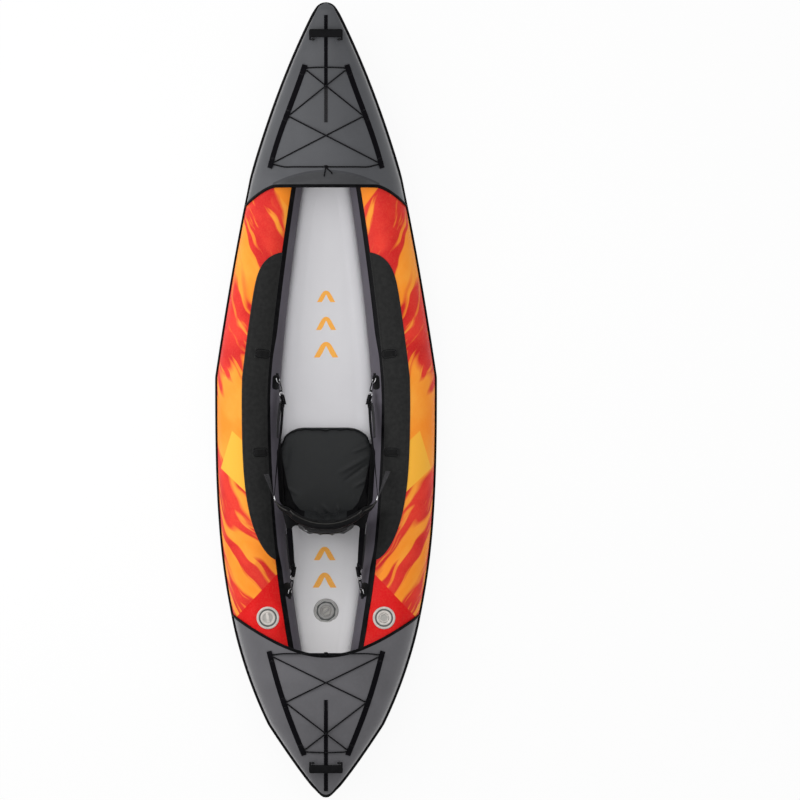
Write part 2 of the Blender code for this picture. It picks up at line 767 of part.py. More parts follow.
def cushion_cage(name, material, columns, rows, place, levels=1):
    """A padded form: a coarse two-sided cage, placed by a function, under Subdivision Surface."""
    bm = bmesh.new()
    bmesh.ops.create_cube(bm, size=2.0)
    for axis, count in ((0, columns), (1, rows)):
        for k in range(1, count):
            cut = -1 + 2 * k / count
            normal = Vector((1, 0, 0)) if axis == 0 else Vector((0, 1, 0))
            bmesh.ops.bisect_plane(bm, geom=bm.verts[:] + bm.edges[:] + bm.faces[:],
                                   plane_co=normal * cut, plane_no=normal)
    for vert in bm.verts:
        vert.co = place(vert.co.x, vert.co.y, vert.co.z)
    bmesh.ops.recalc_face_normals(bm, faces=bm.faces)
    item = mesh_object(name, bm, material)
    mod = item.modifiers.new("padding", "SUBSURF")
    mod.levels = mod.render_levels = levels
    return item


def seat_base():
    """The seat cushion: round front corners, a crowned top and sides drawn in."""
    z0 = floor_top(-0.3) + GAP

    def place(u, v, w):
        drawn = 1 - 0.05 * abs(w) * (abs(u) > 0.9 or abs(v) > 0.9)
        corner = 1 - 0.20 * max(0.0, v) ** 3 * abs(u) ** 3 - 0.10 * max(0.0, -v) ** 3 * abs(u)
        x = u * (SEAT_HALF_WIDTH + 0.010) * corner * drawn
        bow = 0.020 * (1 - u * u) * (v > 0.9) - 0.030 * u * u * (v > 0.9)
        y = mix(SEAT_REAR - 0.010, SEAT_FRONT + 0.010, (v + 1) / 2) + bow * 0.5
        edge = max(abs(u), abs(v))
        crown = SEAT_THICKNESS * (1.0 - 0.28 * (edge > 0.9))
        z = z0 + (crown if w > 0 else 0.0)
        return Vector((x, y, z))

    return cushion_cage("seat_base", "seat_fabric", 6, 6, place)


def back_place(across, up, depth):
    """A point of the curved backrest. across in metres, up from the hinge, depth behind its face."""
    bent = min(1.0, max(0.15, up / 0.12))
    forward = (BACK_RADIUS - math.sqrt(BACK_RADIUS ** 2 - across ** 2)) * bent
    lean = 0.008 * up / BACK_HEIGHT
    return Vector((across, BACK_HINGE.y - 0.0015 - lean + forward - depth,
                   BACK_HINGE.z + up))


def back_half_width(t):
    """Half width of the backrest by its height, 0 at the hinge to 1 at the top."""
    return BACK_HALF_WIDTH * (0.84 + 0.16 * min(1.0, t * 2.2)) * (1 - 0.30 * max(0.0, t - 0.62) ** 1.3)


def seat_back():
    """The backrest: a padded panel, curved round the paddler, with a webbing wing at each side."""
    def place(u, v, w):
        t = (v + 1) / 2
        across = u * (back_half_width(t) + 0.004)
        thin = 0.55 if max(abs(u), abs(v)) > 0.9 else 1.0
        depth = BACK_THICKNESS / 2 - w * BACK_THICKNESS / 2 * thin
        return back_place(across, 0.006 + t * BACK_HEIGHT, depth)

    panel = cushion_cage("seat_back", "seat_fabric", 6, 5, place)
    for side in (-1, 1):
        start = back_place(side * 0.155, 0.145, 0.012)
        finish = WING_RING * Vector((side, 1, 1)) + Vector((side * -0.006, -0.0135, 0))
        up = Vector((0, 0, 1))
        wing = strap(f"wing_{side}", [start, finish], (up, up), 0.030, 0.0030, None)
        boolean(panel, wing, "UNION")
    return panel


WING_RING = Vector((0.2125, -0.410, 0.318))


def seat_pouch():
    """The stowage pouch on the rear of the backrest, full at its foot."""
    def place(u, v, w):
        t = (v + 1) / 2
        across = u * (0.125 - 0.02 * t)
        full = 0.026 - 0.010 * t
        depth = BACK_THICKNESS + 0.0012 + (full if w > 0 else 0.0)
        if w > 0 and max(abs(u), abs(v)) > 0.9:
            depth = BACK_THICKNESS + 0.0012 + full * 0.55
        return back_place(across, 0.035 + t * 0.165, depth)

    return cushion_cage("seat_pouch", "seat_fabric", 4, 3, place)


def fair_route(points, steps=4):
    """More points along a smooth curve through a few."""
    route = []
    for k in range(len(points) - 1):
        before, a = points[max(k - 1, 0)], points[k]
        b, after = points[k + 1], points[min(k + 2, len(points) - 1)]
        for n in range(steps):
            t = n / steps
            route.append(a * 2 * 0.5 + (b - before) * t * 0.5
                         + (before * 2 - a * 5 + b * 4 - after) * t * t * 0.5
                         + (a * 3 - before - b * 3 + after) * t ** 3 * 0.5)
    return [*route, points[-1]]


def strap(name, centres, ways, width, thickness, material, straight=0):
    """A flat strap along a route. ways gives its width's direction at each end.

    straight is the number of centres that keep the first direction before the twist begins.
    """
    rings = []
    for k, centre in enumerate(centres):
        ahead = centres[min(k + 1, len(centres) - 1)] - centres[max(k - 1, 0)]
        twist = max(0, k - straight) / (len(centres) - 1 - straight)
        way = mix(ways[0], ways[1], twist).normalized()
        face = ahead.normalized().cross(way).normalized()
        way = face.cross(ahead.normalized()).normalized()
        a, b = way * width / 2, face * thickness / 2
        rings.append([centre + a + b, centre - a + b, centre - a - b, centre + a - b])
    return loft(name, rings, material)


def strap_anchor(side, y, way):
    """Frame of a D-ring's pivot on the inner wall: X along the pull, Y round the wall, Z off it."""
    wall = tube_frame(side, y, DRING_ANGLE, GAP + SKIN + 0.0004)
    x_axis = wall.col[1].to_3d() * way
    z_axis = wall.col[2].to_3d()
    return frame_of(wall.translation, x_axis, z_axis.cross(x_axis), z_axis)


RING_TILT = math.radians(20)
RING_PIVOT_HEIGHT = 0.0052
RING_LENGTH = 0.020
RING_WIRE = 0.0020
HOOK_WIRE = 0.0023
HOOK_NOSE = 0.0066


def tilted(anchor):
    """The D-ring's own frame, lifted off the wall by the pull of its strap."""
    return (anchor @ Matrix.Translation((0, 0, RING_PIVOT_HEIGHT))
            @ Matrix.Rotation(-RING_TILT, 4, "Y"))


def d_ring(name, anchor):
    """A welded patch with a keeper, and the wire D that its keeper holds."""
    patch = block(name, (0.024, 0.036, 0.0022), anchor @ Matrix.Translation((-0.004, 0, 0.0011)),
                  "webbing")
    keeper = block(name + "_keeper", (0.011, 0.020, 0.0085),
                   anchor @ Matrix.Translation((0, 0, 0.0048)))
    boolean(patch, keeper, "UNION")
    frame = tilted(anchor)
    half = 0.0125
    route = [frame @ Vector((0, -half, 0)), frame @ Vector((0, half, 0))]
    for k in range(7):
        turn = math.pi / 2 - math.pi * k / 6
        route.append(frame @ Vector(((RING_LENGTH - half) + half * math.cos(turn),
                                     half * math.sin(turn), 0)))
    wire = pipe(name + "_wire", route, RING_WIRE, None, cyclic=True)
    return boolean(patch, wire, "UNION")


def hook_frame(anchor):
    """The snap hook's frame: the D's wire lies in its nose, and X runs on to the strap."""
    nose = RING_LENGTH + HOOK_NOSE - HOOK_WIRE - RING_WIRE - 0.0004
    return tilted(anchor) @ Matrix.Translation((nose, 0, 0))


def snap_hook(name, anchor):
    """A snap hook: a bent nose round the ring, a spine, and an eye for the strap."""
    frame = hook_frame(anchor)
    route = []
    for degrees in (256, 233, 210, 180, 150, 120, 90):
        turn = math.radians(degrees)
        route.append(Vector((HOOK_NOSE * math.cos(turn), 0, HOOK_NOSE * math.sin(turn))))
    route += [Vector((0.018, 0, HOOK_NOSE)), Vector((0.030, 0, HOOK_NOSE)),
              Vector((0.036, 0, 0.0035)), Vector((0.042, 0, 0))]
    hook = pipe(name, [frame @ point for point in route], HOOK_WIRE, "zinc")
    base = block(name + "_base", (0.010, 0.0075, 0.0125),
                 frame @ Matrix.Translation((0.0335, 0, 0.0005)))
    boolean(hook, base, "UNION")
    slot = block(name + "_slot", (0.0075, 0.0032, 0.0100),
                 frame @ Matrix.Translation((0.0290, 0, -0.0050)))
    boolean(hook, slot, "DIFFERENCE")
    eye = [Vector((0.042, -0.0145, 0)), Vector((0.042, 0.0145, 0)),
           Vector((0.053, 0.0155, 0)), Vector((0.053, -0.0155, 0))]
    loop = pipe(name + "_eye", [frame @ point for point in eye], HOOK_WIRE, None, cyclic=True)
    return boolean(hook, loop, "UNION")


def hook_gate(name, anchor):
    """The sprung gate that closes the hook between its nose and its base."""
    frame = hook_frame(anchor)
    return block(name, (0.0278, 0.0024, 0.0030),
                 frame @ Matrix.Translation((0.0146, 0, -HOOK_NOSE + 0.0008)), "zinc")


def hook_end(anchor):
    """The seat strap's sewn end: a turn round the hook's bar, from its tail to its main run."""
    frame = hook_frame(anchor)
    turn = [(0.074, 0.0034), (0.058, 0.0040), (0.0500, 0.0031), (0.0488, 0.0), (0.0500, -0.0031),
            (0.058, -0.0040), (0.074, -0.0022)]
    return [frame @ Vector((x, 0, z)) for x, z in turn]


def seat_strap(side, spot, anchor):
    """A strap from its snap hook to the backrest: its wing's buckle in front, its face behind."""
    turn = hook_end(anchor)
    start = turn[-1]
    if spot == "front":
        finish = Vector((side * 0.2145, -0.3972, 0.316))
        bends = [start, mix(start, finish, 0.3) + Vector((side * -0.004, 0, -0.004)),
                 mix(start, finish, 0.6), finish]
        last_way = Vector((0, 0, 1))
    else:
        finish = Vector((side * 0.1525, -0.5285, 0.345))
        bends = [start, mix(start, finish, 0.35), mix(start, finish, 0.70), finish]
        last_way = Vector((side, 0, 0))
    first_way = anchor.col[1].to_3d()
    if first_way.dot(last_way) < 0:
        first_way = -first_way
    name = f"{side_name(side)}_{spot}_seat_strap"
    route = turn[:-1] + fair_route(bends, 3)
    return strap(name, route, (first_way, last_way), 0.024, 0.0022, "webbing", len(turn))


def strap_buckle(name, side):
    """The metal ladder buckle between a wing of the backrest and its front strap."""
    centre = WING_RING * Vector((side, 1, 1))
    along = Vector((side * 0.30, 1, -0.20)).normalized()
    up = Vector((0, 0, 1))
    across = along.cross(up).normalized()
    up = across.cross(along)
    route = [centre + along * a + up * b
             for a, b in ((-0.009, -0.017), (0.009, -0.017), (0.009, 0.017), (-0.009, 0.017))]
    frame = pipe(name, route, 0.0021, "zinc", cyclic=True)
    bar = pipe(name + "_bar", [centre - up * 0.017, centre + up * 0.017], 0.0019, None)
    return boolean(frame, bar, "UNION")


def fin_box():
    """The slide-in fin box under the stern: a flange with two rails beside a slot."""
    y = -1.26
    low = tube_point(1, y, -100, GAP)
    slope = tube_point(1, y + 0.03, -100, GAP) - tube_point(1, y - 0.03, -100, GAP)
    pitch = math.atan2(slope.z, slope.y)
    frame = (Matrix.Translation((0, y, low.z - BOTTOM_SKIN - GAP))
             @ Matrix.Rotation(pitch, 4, "X"))
    box = block("fin_box", (0.062, 0.112, 0.003), frame @ Matrix.Translation((0, 0, -0.0015)),
                "piping")
    rail = block("fin_rails", (0.024, 0.100, 0.020),
                 frame @ Matrix.Translation((0, 0, -0.0125)), None, 0.0015)
    boolean(box, rail, "UNION")
    slot = block("fin_slot", (0.0072, 0.120, 0.0165), frame @ Matrix.Translation((0, 0.012, -0.0155)))
    boolean(box, slot, "DIFFERENCE")
    return box


# Assembly

def build():
    for end in ("bow", "stern"):
        deck(end)
    frames = {}
    for side in (-1, 1):
        frames[side] = tube_frame(side, SIDE_VALVE_Y, SIDE_VALVE_ANGLE, GAP + SKIN)
    floor_frame = Matrix.Translation((0, FLOOR_VALVE_Y, floor_top(FLOOR_VALVE_Y)))
    for side in (-1, 1):
        name = side_name(side)
        pocket = valve_pocket(name, frames[side], 1.0)
        air_chamber(side, pocket)
        panel = tube_sheet(name + "_print_panel", side, PANEL_ANGLES, (-1.12, 0.93), GAP, SKIN,
                           "print_fabric")
        boolean(panel, pocket, "DIFFERENCE")
        tube_sheet(name + "_inner_wall", side, WALL_ANGLES, (-1.20, 1.06), GAP, SKIN, "inner_fabric")
        tube_sheet(name + "_seam_tape", side, TAPE_ANGLES, (-1.12, 0.93), TAPE_LIFT, TAPE, "webbing")
        gunwale_pad(side)
        valve(name, frames[side], 1.0)
        for end in ("bow", "stern"):
            deck_webbing(end, side)
        for spot, y in (("front", 0.192), ("rear", -0.217)):
            paddle_keeper(side, y, f"{name}_{spot}_paddle_keeper")
    air_floor(valve_pocket("floor", floor_frame, 1.1))
    valve("floor", floor_frame, 1.1)
    bottom_panel()
    for end in ("bow", "stern"):
        spine_strap(end)
        carry_handle(end)
        bungee(end)
    hull_piping()
    fin_box()
    seat_base()
    seat_back()
    seat_pouch()
    for side in (-1, 1):
        name = side_name(side)
        strap_buckle(name + "_strap_buckle", side)
        for spot, y, way in (("front", 0.090, -1), ("rear", -0.805, 1)):
            anchor = strap_anchor(side, y, way)
            d_ring(f"{name}_{spot}_d_ring", anchor)
            snap_hook(f"{name}_{spot}_snap_hook", anchor)
            hook_gate(f"{name}_{spot}_hook_gate", anchor)
            seat_strap(side, spot, anchor)


build()
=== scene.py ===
"""Looks of the inflatable touring kayak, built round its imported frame.

+Y is the bow, +X is starboard and +Z is up, in metres. The sizes and the lines of the hull come
first, then the fabrics and plastics, the hull itself, the rigging of the decks, the valves and
metal fittings, the seat and the picture's stage.
"""
import math
from functools import lru_cache

import bpy
import numpy as np
from mathutils import Matrix, Vector
from mathutils.bvhtree import BVHTree


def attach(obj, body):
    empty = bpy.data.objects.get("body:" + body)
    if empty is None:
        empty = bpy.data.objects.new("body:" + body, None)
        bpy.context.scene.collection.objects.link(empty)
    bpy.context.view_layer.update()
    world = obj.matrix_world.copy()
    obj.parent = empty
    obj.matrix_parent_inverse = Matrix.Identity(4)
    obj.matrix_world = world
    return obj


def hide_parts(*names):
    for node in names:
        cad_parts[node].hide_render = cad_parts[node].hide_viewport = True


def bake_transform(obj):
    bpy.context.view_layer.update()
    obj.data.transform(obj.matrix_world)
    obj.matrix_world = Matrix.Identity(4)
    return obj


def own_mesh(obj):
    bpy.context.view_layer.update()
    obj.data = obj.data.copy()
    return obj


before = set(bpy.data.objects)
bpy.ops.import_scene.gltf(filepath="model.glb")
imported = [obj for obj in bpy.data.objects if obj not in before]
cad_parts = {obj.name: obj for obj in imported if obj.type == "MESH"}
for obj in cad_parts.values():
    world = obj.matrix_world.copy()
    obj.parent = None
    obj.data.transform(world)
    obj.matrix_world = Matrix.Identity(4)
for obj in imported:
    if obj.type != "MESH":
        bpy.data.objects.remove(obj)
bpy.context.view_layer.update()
UP = Vector((0, 0, 1))
WELD_DISTANCE = 2e-5

# Hull
LENGTH = 3.30
BEAM = 0.923
COCKPIT_HALF_GAP = 0.192
TIP_HALF_GAP = 0.008
BOW_RISE = 0.20
STERN_RISE = 0.17
BOW_FLAT_END = 0.45
STERN_FLAT_END = -0.50
TUBE_SIDES = 18
GAP = 0.0005
SKIN = 0.0012
BOTTOM_SKIN = 0.0015
TAPE_LIFT = 0.0020
TAPE = 0.0010
PAD_LIFT = 0.0019
PAD = 0.0046
DECK_LIFT = 0.0050
DECK = 0.0015
DECK_TOP = DECK_LIFT + DECK
FIN_PLACE = -1.26
PIPING_RADIUS = 0.0048
PIPING_LIFT = 0.0054
HEM_RADIUS = 0.0043
HEM_LIFT = 0.0082
HEM_OFFSET = 0.0056
BOW_EDGE = 0.892
BOW_EDGE_DROP = 0.092
STERN_EDGE = -1.066
STERN_EDGE_RISE = 0.172
FLOOR_HALF_THICKNESS = 0.043
FLOOR_ENDS = (-1.20, 1.06)
FLOOR_TAPE = 0.0006
STATIONS = (                              # y of the rings of the frame's chambers
    -1.58, -1.50, -1.41, -1.32, -1.20, -1.06, -0.90, -0.72, -0.54, -0.36, -0.18, 0.0,
    0.18, 0.36, 0.54, 0.72, 0.90, 1.06, 1.20, 1.32, 1.42, 1.50, 1.58)
TUBE_END = 1.58
PRINT_ANGLES = (3.5, 132.7)               # limits of the panels round the chamber, in degrees
WALL_ANGLES = (133.3, 200)
PRINT_ENDS = (-1.12, 0.93)
WALL_ENDS = (-1.20, 1.06)
BAND_ANGLES = (-35, -47)
BAND_ENDS = (-1.55, 1.55)
PAD_INNER_ANGLE = 126.6
PAD_OUTER_ANGLE = 80
PAD_MIDDLE = -0.025
PAD_HALF_LENGTH = 0.638
PAD_ROLL = 0.0045
PAD_GROOVE = (0.0013, 0.0125, 0.0024)     # its depth, its place inside the edge and its width
DECK_TIPS = {"bow": 1.6485, "stern": -1.6430}
NOSE_ROUND = 0.034                        # over which a deck falls to its rim at the tip
ARCH = (0.951, 0.056, 0.225)              # the bow deck's crease: its crest, fall and half span
FLOOR_MARKS = (                           # x, y, width, length and weight of each chevron
    (0.0, 0.4275, 0.056, 0.040, 0.84), (0.0, 0.315, 0.063, 0.047, 0.88),
    (0.0, 0.205, 0.078, 0.056, 1.0), (-0.006, -0.643, 0.067, 0.047, 1.0),
    (-0.006, -0.754, 0.074, 0.053, 1.06))

# Cloth
SCRIM_PITCH = 0.0024
FLOOR_PITCH = 0.0046

# Rigging
RIGGING = {                               # y of the cord's three turns on each side
    "bow": (0.983, 1.180, 1.372), "stern": (-1.063, -1.257, -1.455)}
WEBBING_WIDTH = 0.023
WEBBING = 0.0020
LOOP_HEIGHT = 0.0068
CORD_RADIUS = 0.0030
HANDLE_PIVOTS = {"bow": (1.497, 0.33955), "stern": (-1.507, 0.31034)}   # y and z of the pins
HANDLE_REACH = 0.031
HANDLE_LENGTH = 0.141
LUG_PLACE = 0.056
LUG_RADIUS = 0.0050
PIN_RADIUS = 0.0027
SIDE_WEBBING = {                          # y and x of both ends, and the bulge between them
    "bow": ((0.968, 0.232), (1.384, 0.089), (0.0105, -0.012)),
    "stern": ((-1.053, 0.2335), (-1.467, 0.0935), (0.010, 0.0))}
SPINE = {                                 # inner end, change of cloth, outer end and width
    "bow": (1.153, 1.300, 1.598, 0.0150), "stern": (-1.245, -1.290, -1.625, 0.0170)}
CORD_TIE = {"bow": (0.968, 0.0), "stern": (-1.053, 0.0080)}   # its y and its height over the hem
CORD_TAILS = {                            # side, reach outwards and reach towards the cockpit
    "bow": ((-1, 0.007, 0.040), (1, 0.026, 0.030)),
    "stern": ((-1, 0.030, -0.006), (1, 0.036, -0.008))}
KEEPER_SPOTS = (("front", 0.192), ("rear", -0.217))
KEEPER_ANGLE = 110

# Seat and its fittings
SEAT_FRONT = -0.113
SEAT_REAR = -0.492
BACK_HINGE = Vector((0, -0.500, 0.172))
BACK_RADIUS = 0.249
BACK_HALF_WIDTH = 0.165
BACK_HEIGHT = 0.325
BACK_THICKNESS = 0.028
WING_RING = Vector((0.2125, -0.410, 0.318))
DRING_ANGLE = 150
RING_TILT = math.radians(20)
RING_PIVOT_HEIGHT = 0.0052
RING_LENGTH = 0.020
RING_WIRE = 0.0020
HOOK_WIRE = 0.0023
HOOK_NOSE = 0.0066
STRAP_SPOTS = (("front", 0.090, -1), ("rear", -0.805, 1))     # place and way of pull of D-rings
STRAP_FOLDS = {                           # both limits, bulge, shift, twist, width and thickness
    "front": (0.03, 0.39, 0.003, (0.0085, 0.0, 0.0100), 0.4, 0.0235, 0.0018),
    "rear": (0.06, 0.84, 0.0, (0.0085, 0.0010, -0.0042), 0.8, 0.0225, 0.0016)}
SEAT_MIDDLE = -0.30
FLAP_ENDS = (-0.180, -0.446)
FLAP_TOP_ANGLE = 150.0
PANEL_SEAM = (-0.175, -0.480)
PANEL_EDGE = ((-0.510, 0.000), (-0.504, 0.045), (-0.492, 0.075), (-0.464, 0.105),
              (-0.425, 0.136), (-0.365, 0.159), (-0.300, 0.173), (-0.240, 0.184),
              (-0.190, 0.192))
BACK_FOOT = 0.008
BACK_RISE = BACK_HEIGHT - 0.004
SEAT_FOLDS = (
    ((0.060, -0.300), (0.176, -0.235), 0.010, 0.0046),
    ((0.080, -0.335), (0.180, -0.262), 0.007, -0.0036),
    ((0.115, -0.215), (0.178, -0.190), 0.007, 0.0034),
    ((0.120, -0.360), (0.172, -0.330), 0.008, 0.0032),
    ((-0.010, -0.440), (0.024, -0.480), 0.008, 0.0040),
    ((-0.046, -0.452), (-0.030, -0.486), 0.006, 0.0034),
    ((0.048, -0.440), (0.060, -0.474), 0.006, 0.0030),
    ((-0.120, -0.395), (-0.165, -0.360), 0.008, 0.0034),
    ((-0.150, -0.180), (-0.172, -0.300), 0.012, -0.0030),
    ((-0.030, -0.150), (0.050, -0.146), 0.012, 0.0014))
BACK_FOLDS = (
    ((-0.06, 0.44), (-0.02, 0.49), 0.007, 0.0026), ((0.07, 0.43), (0.03, 0.492), 0.007, 0.0028),
    ((0.13, 0.30), (0.09, 0.36), 0.008, 0.0028), ((-0.13, 0.32), (-0.09, 0.27), 0.008, 0.0028),
    ((0.02, 0.24), (0.06, 0.20), 0.008, 0.0026))
POUCH_FOLDS = (
    ((-0.08, 0.222), (-0.055, 0.275), 0.008, 0.0050),
    ((-0.03, 0.218), (-0.018, 0.262), 0.007, 0.0044),
    ((0.03, 0.220), (0.022, 0.270), 0.008, 0.0052),
    ((0.085, 0.226), (0.058, 0.268), 0.008, 0.0050),
    ((-0.09, 0.300), (-0.05, 0.305), 0.006, 0.0026), ((0.04, 0.312), (0.09, 0.300), 0.006, 0.0026))

# Valves
SIDE_VALVE_Y = -0.905
SIDE_VALVE_ANGLE = 95
FLOOR_VALVE_Y = -0.878
FLOOR_VALVE_SCALE = 1.1
VALVE_HOLE = 0.0420
VALVE_PROFILES = {                        # radii and heights of the turned parts
    "seat": ((0.0470, 0.0000), (0.0470, 0.0016), (0.0456, 0.0040), (0.0392, 0.0046),
             (0.0374, 0.0036), (0.0365, -0.0042), (0.0215, -0.0042), (0.0215, -0.0235),
             (0.0048, -0.0235), (0.0048, -0.0275), (0.0405, -0.0275), (0.0405, 0.0000)),
    "gap_ring": ((0.0364, -0.0041), (0.0372, 0.0028), (0.0364, 0.0040), (0.0330, 0.0040),
             (0.0320, 0.0028), (0.0326, -0.0041)),
    "lid": ((0.0, 0.0010), (0.0205, 0.0012), (0.0224, 0.0046), (0.0294, 0.0048),
            (0.0312, 0.0032), (0.0314, -0.0036), (0.0208, -0.0038), (0.0205, -0.0062),
            (0.0, -0.0062)),
    "dish": ((0.0, 0.0008), (0.0200, 0.0008), (0.0206, 0.0015), (0.0, 0.0016)),
    "stem": ((0.0, -0.0146), (0.0060, -0.0140), (0.0098, -0.0144), (0.0105, -0.0154),
             (0.0105, -0.0168), (0.0040, -0.0172), (0.0040, -0.0279), (0.0120, -0.0283),
             (0.0120, -0.0305), (0.0, -0.0305))}
COLLAR_PROFILE = ((0.0, 0.0365), (0.0040, 0.0365), (0.0048, 0.0378), (0.0048, 0.0408),
                  (0.0036, 0.0420), (0.0, 0.0420))

# Picture
VIEW_WIDTH = 3.325
VIEW_CENTRE = (0.3076, 0.0)
CAMERA_HEIGHT = 100.0
FLOOR_DROP = -0.0026                      # the ground lies just under the bottom's fabric
LIGHTS = (                                # place, aim, size and power
    ("top_box", (-0.6, 0.9, 3.6), (0, 0, 0.2), (3.0, 4.5), 56),
    ("port_strip", (-3.0, 0.3, 1.0), (0, 0, 0.25), (0.8, 4.5), 62),
    ("starboard_strip", (3.0, -0.2, 1.0), (0, 0, 0.25), (0.8, 4.5), 4))


def mix(a, b, t):
    return a + (b - a) * t


def smooth_step(low, high, value):
    t = min(1.0, max(0.0, (value - low) / (high - low)))
    return t * t * (3 - 2 * t)


def spread(low, high, count):
    """Values from low to high in equal steps."""
    return [mix(low, high, k / count) for k in range(count + 1)]


def curved(value, power):
    """A power of a value that keeps its sign."""
    return math.copysign(abs(value) ** power, value)


def mirrored(points):
    return [Vector((-p.x, p.y, p.z)) for p in points]


def run_at(path, k):
    """The way from the point before to the point after, at a point of a route."""
    return path[min(k + 1, len(path) - 1)] - path[max(k - 1, 0)]


def side_name(side):
    return "right" if side > 0 else "left"


# Lines of the hull

def half_beam(y):
    to_bow = max(0.0, (y - 0.096) / (1.712 - 0.096))
    to_stern = max(0.0, (0.148 - y) / (1.700 + 0.148))
    past_bow = max(0.0, LENGTH / 2 - y)
    past_stern = max(0.0, y + LENGTH / 2)
    nose = 1 - 0.42 * math.exp(-past_bow / 0.013) - 0.13 * math.exp(-past_bow / 0.12)
    return nose * min(BEAM / 2 * (1 - to_bow ** 1.58) ** 0.894,
                      BEAM / 2 * (1 - to_stern ** 3.244) ** 0.944,
                      0.37 * math.sqrt(past_bow),
                      0.1437 * math.sqrt(past_stern) + 0.5255 * past_stern)


def half_gap(y):
    part = (max(0.0, y) / 1.50) ** 1.35 + (max(0.0, -y) / 1.55) ** 1.9
    return max(TIP_HALF_GAP, COCKPIT_HALF_GAP * (1 - part))


def keel(y):
    return (BOW_RISE * max(0.0, y - BOW_FLAT_END) ** 2
            + STERN_RISE * max(0.0, STERN_FLAT_END - y) ** 2)


@lru_cache(maxsize=None)
def section(y):
    """The chamber cut across at y: its radius, and its centre's x and z."""
    outer = half_beam(y) - PIPING_LIFT - PIPING_RADIUS
    inner = half_gap(y) + GAP + SKIN
    radius = max((outer - inner) / 2, 0.006)
    low = (radius + GAP) * math.cos(math.pi / TUBE_SIDES) + BOTTOM_SKIN
    return radius, max(outer - radius, 0.0), keel(y) + low


def chamber(side, y, angle, lift=0.0):
    """A point of the chamber. Angle 0 is outboard, 90 up, 180 towards the other chamber."""
    radius, x, z = section(y)
    turn = math.radians(angle)
    return Vector((side * (x + (radius + lift) * math.cos(turn)), y,
                   z + (radius + lift) * math.sin(turn)))


def frame_of(origin, x_axis, y_axis, z_axis):
    matrix = Matrix((x_axis, y_axis, z_axis)).transposed().to_4x4()
    matrix.translation = origin
    return matrix


def facet_point(side, y, angle, lift):
    """A point of the faceted chamber of the frame, whose fittings sit on its facets."""
    k = max(i for i, station in enumerate(STATIONS[:-1]) if station < y or i == 0)
    part = (y - STATIONS[k]) / (STATIONS[k + 1] - STATIONS[k])
    step = 360 / TUBE_SIDES
    corner = math.floor(angle / step)
    ends = []
    for station in STATIONS[k:k + 2]:
        a = chamber(side, station, corner * step, lift)
        b = chamber(side, station, (corner + 1) * step, lift)
        ends.append(mix(a, b, angle / step - corner))
    return mix(ends[0], ends[1], part)


def fitting_frame(side, y, angle, lift):
    """A frame on the chamber's surface: Z out of it, Y towards the bow."""
    here = facet_point(side, y, angle, lift)
    along = facet_point(side, y + 0.04, angle, lift) - facet_point(side, y - 0.04, angle, lift)
    around = (facet_point(side, y, angle - 6, lift) - facet_point(side, y, angle + 6, lift)) * side
    normal = around.cross(along).normalized()
    along.normalize()
    return frame_of(here, along.cross(normal), along, normal)


def leave_angle(y):
    """The angle round the chamber at which a deck leaves it."""
    edge = BOW_EDGE if y > 0 else STERN_EDGE
    tip = math.copysign(LENGTH / 2, y)
    part = min(1.0, max(0.0, (y - edge) / (tip - edge)))
    return math.radians(mix(60 if y > 0 else 66, 74, part ** 0.6))


def deck_arch(x, y, lift=DECK_LIFT):
    """Height of the deck: round the chamber first, then a fair arch to the centre line."""
    radius, centre_x, centre_z = section(y)
    reach = radius + lift
    leave = leave_angle(y)
    x_leave = centre_x + reach * math.cos(leave)
    if abs(x) > x_leave:
        across = min(abs(x) - centre_x, reach * 0.999)
        return centre_z + math.sqrt(reach ** 2 - across ** 2)
    slope = 1 / math.tan(leave)
    inward = x_leave - abs(x)
    return centre_z + reach * math.sin(leave) + slope * inward - slope * inward ** 2 / (2 * x_leave)


def deck_point(column, y, lift=DECK_LIFT):
    """A point of the deck. column runs from -1, the port seam, to 1, the starboard seam."""
    radius, centre_x, centre_z = section(y)
    reach = radius + lift
    leave = leave_angle(y)
    start = min(0.0078 / radius, 0.6)
    part = abs(column)
    if part > 0.5:
        turn = mix(start, leave, (1 - part) * 2)
        x = centre_x + reach * math.cos(turn)
        z = centre_z + reach * math.sin(turn)
    else:
        x = (centre_x + reach * math.cos(leave)) * part * 2
        z = deck_arch(x, y, lift)
    return Vector((math.copysign(x, column) if column else 0.0, y, z))


def edge_y(end, column):
    """The cockpit edge of a deck, seen from above."""
    start = BOW_EDGE if end == "bow" else STERN_EDGE + 0.1
    across = abs(deck_point(column, start).x)
    if end == "bow":
        part = max(0.0, across / half_beam(0.87) - 0.62) / 0.38
        return BOW_EDGE - BOW_EDGE_DROP * part ** 1.8
    return STERN_EDGE + STERN_EDGE_RISE * (across / half_beam(start)) ** 2


def floor_line(y):
    """The air floor cut across: its flat half width and its middle height."""
    radius, x, z = section(y)
    e = FLOOR_HALF_THICKNESS
    middle = z - radius * math.cos(math.pi / TUBE_SIDES) + e + 0.0015
    reach = radius + 2 * GAP + SKIN + e
    return x - math.sqrt(reach ** 2 - (z - middle) ** 2), middle


def floor_top(y):
    return floor_line(y)[1] + FLOOR_HALF_THICKNESS


# Making pieces

def coordinates(mesh, kind="co"):
    """The points of a mesh as rows of an array, or its normals."""
    spots = np.empty(len(mesh.vertices) * 3)
    mesh.vertices.foreach_get(kind, spots)
    return spots.reshape(-1, 3)


def put_back(item, spots):
    item.data.vertices.foreach_set("co", spots.ravel())
    item.data.update()
    return item


def surface_of(item):
    """The surface of a piece, to lay others on."""
    return BVHTree.FromObject(item, bpy.context.evaluated_depsgraph_get())


def added(name):
    """The piece that was just added, under its own name."""
    item = bpy.context.object
    item.name = item.data.name = name
    return item


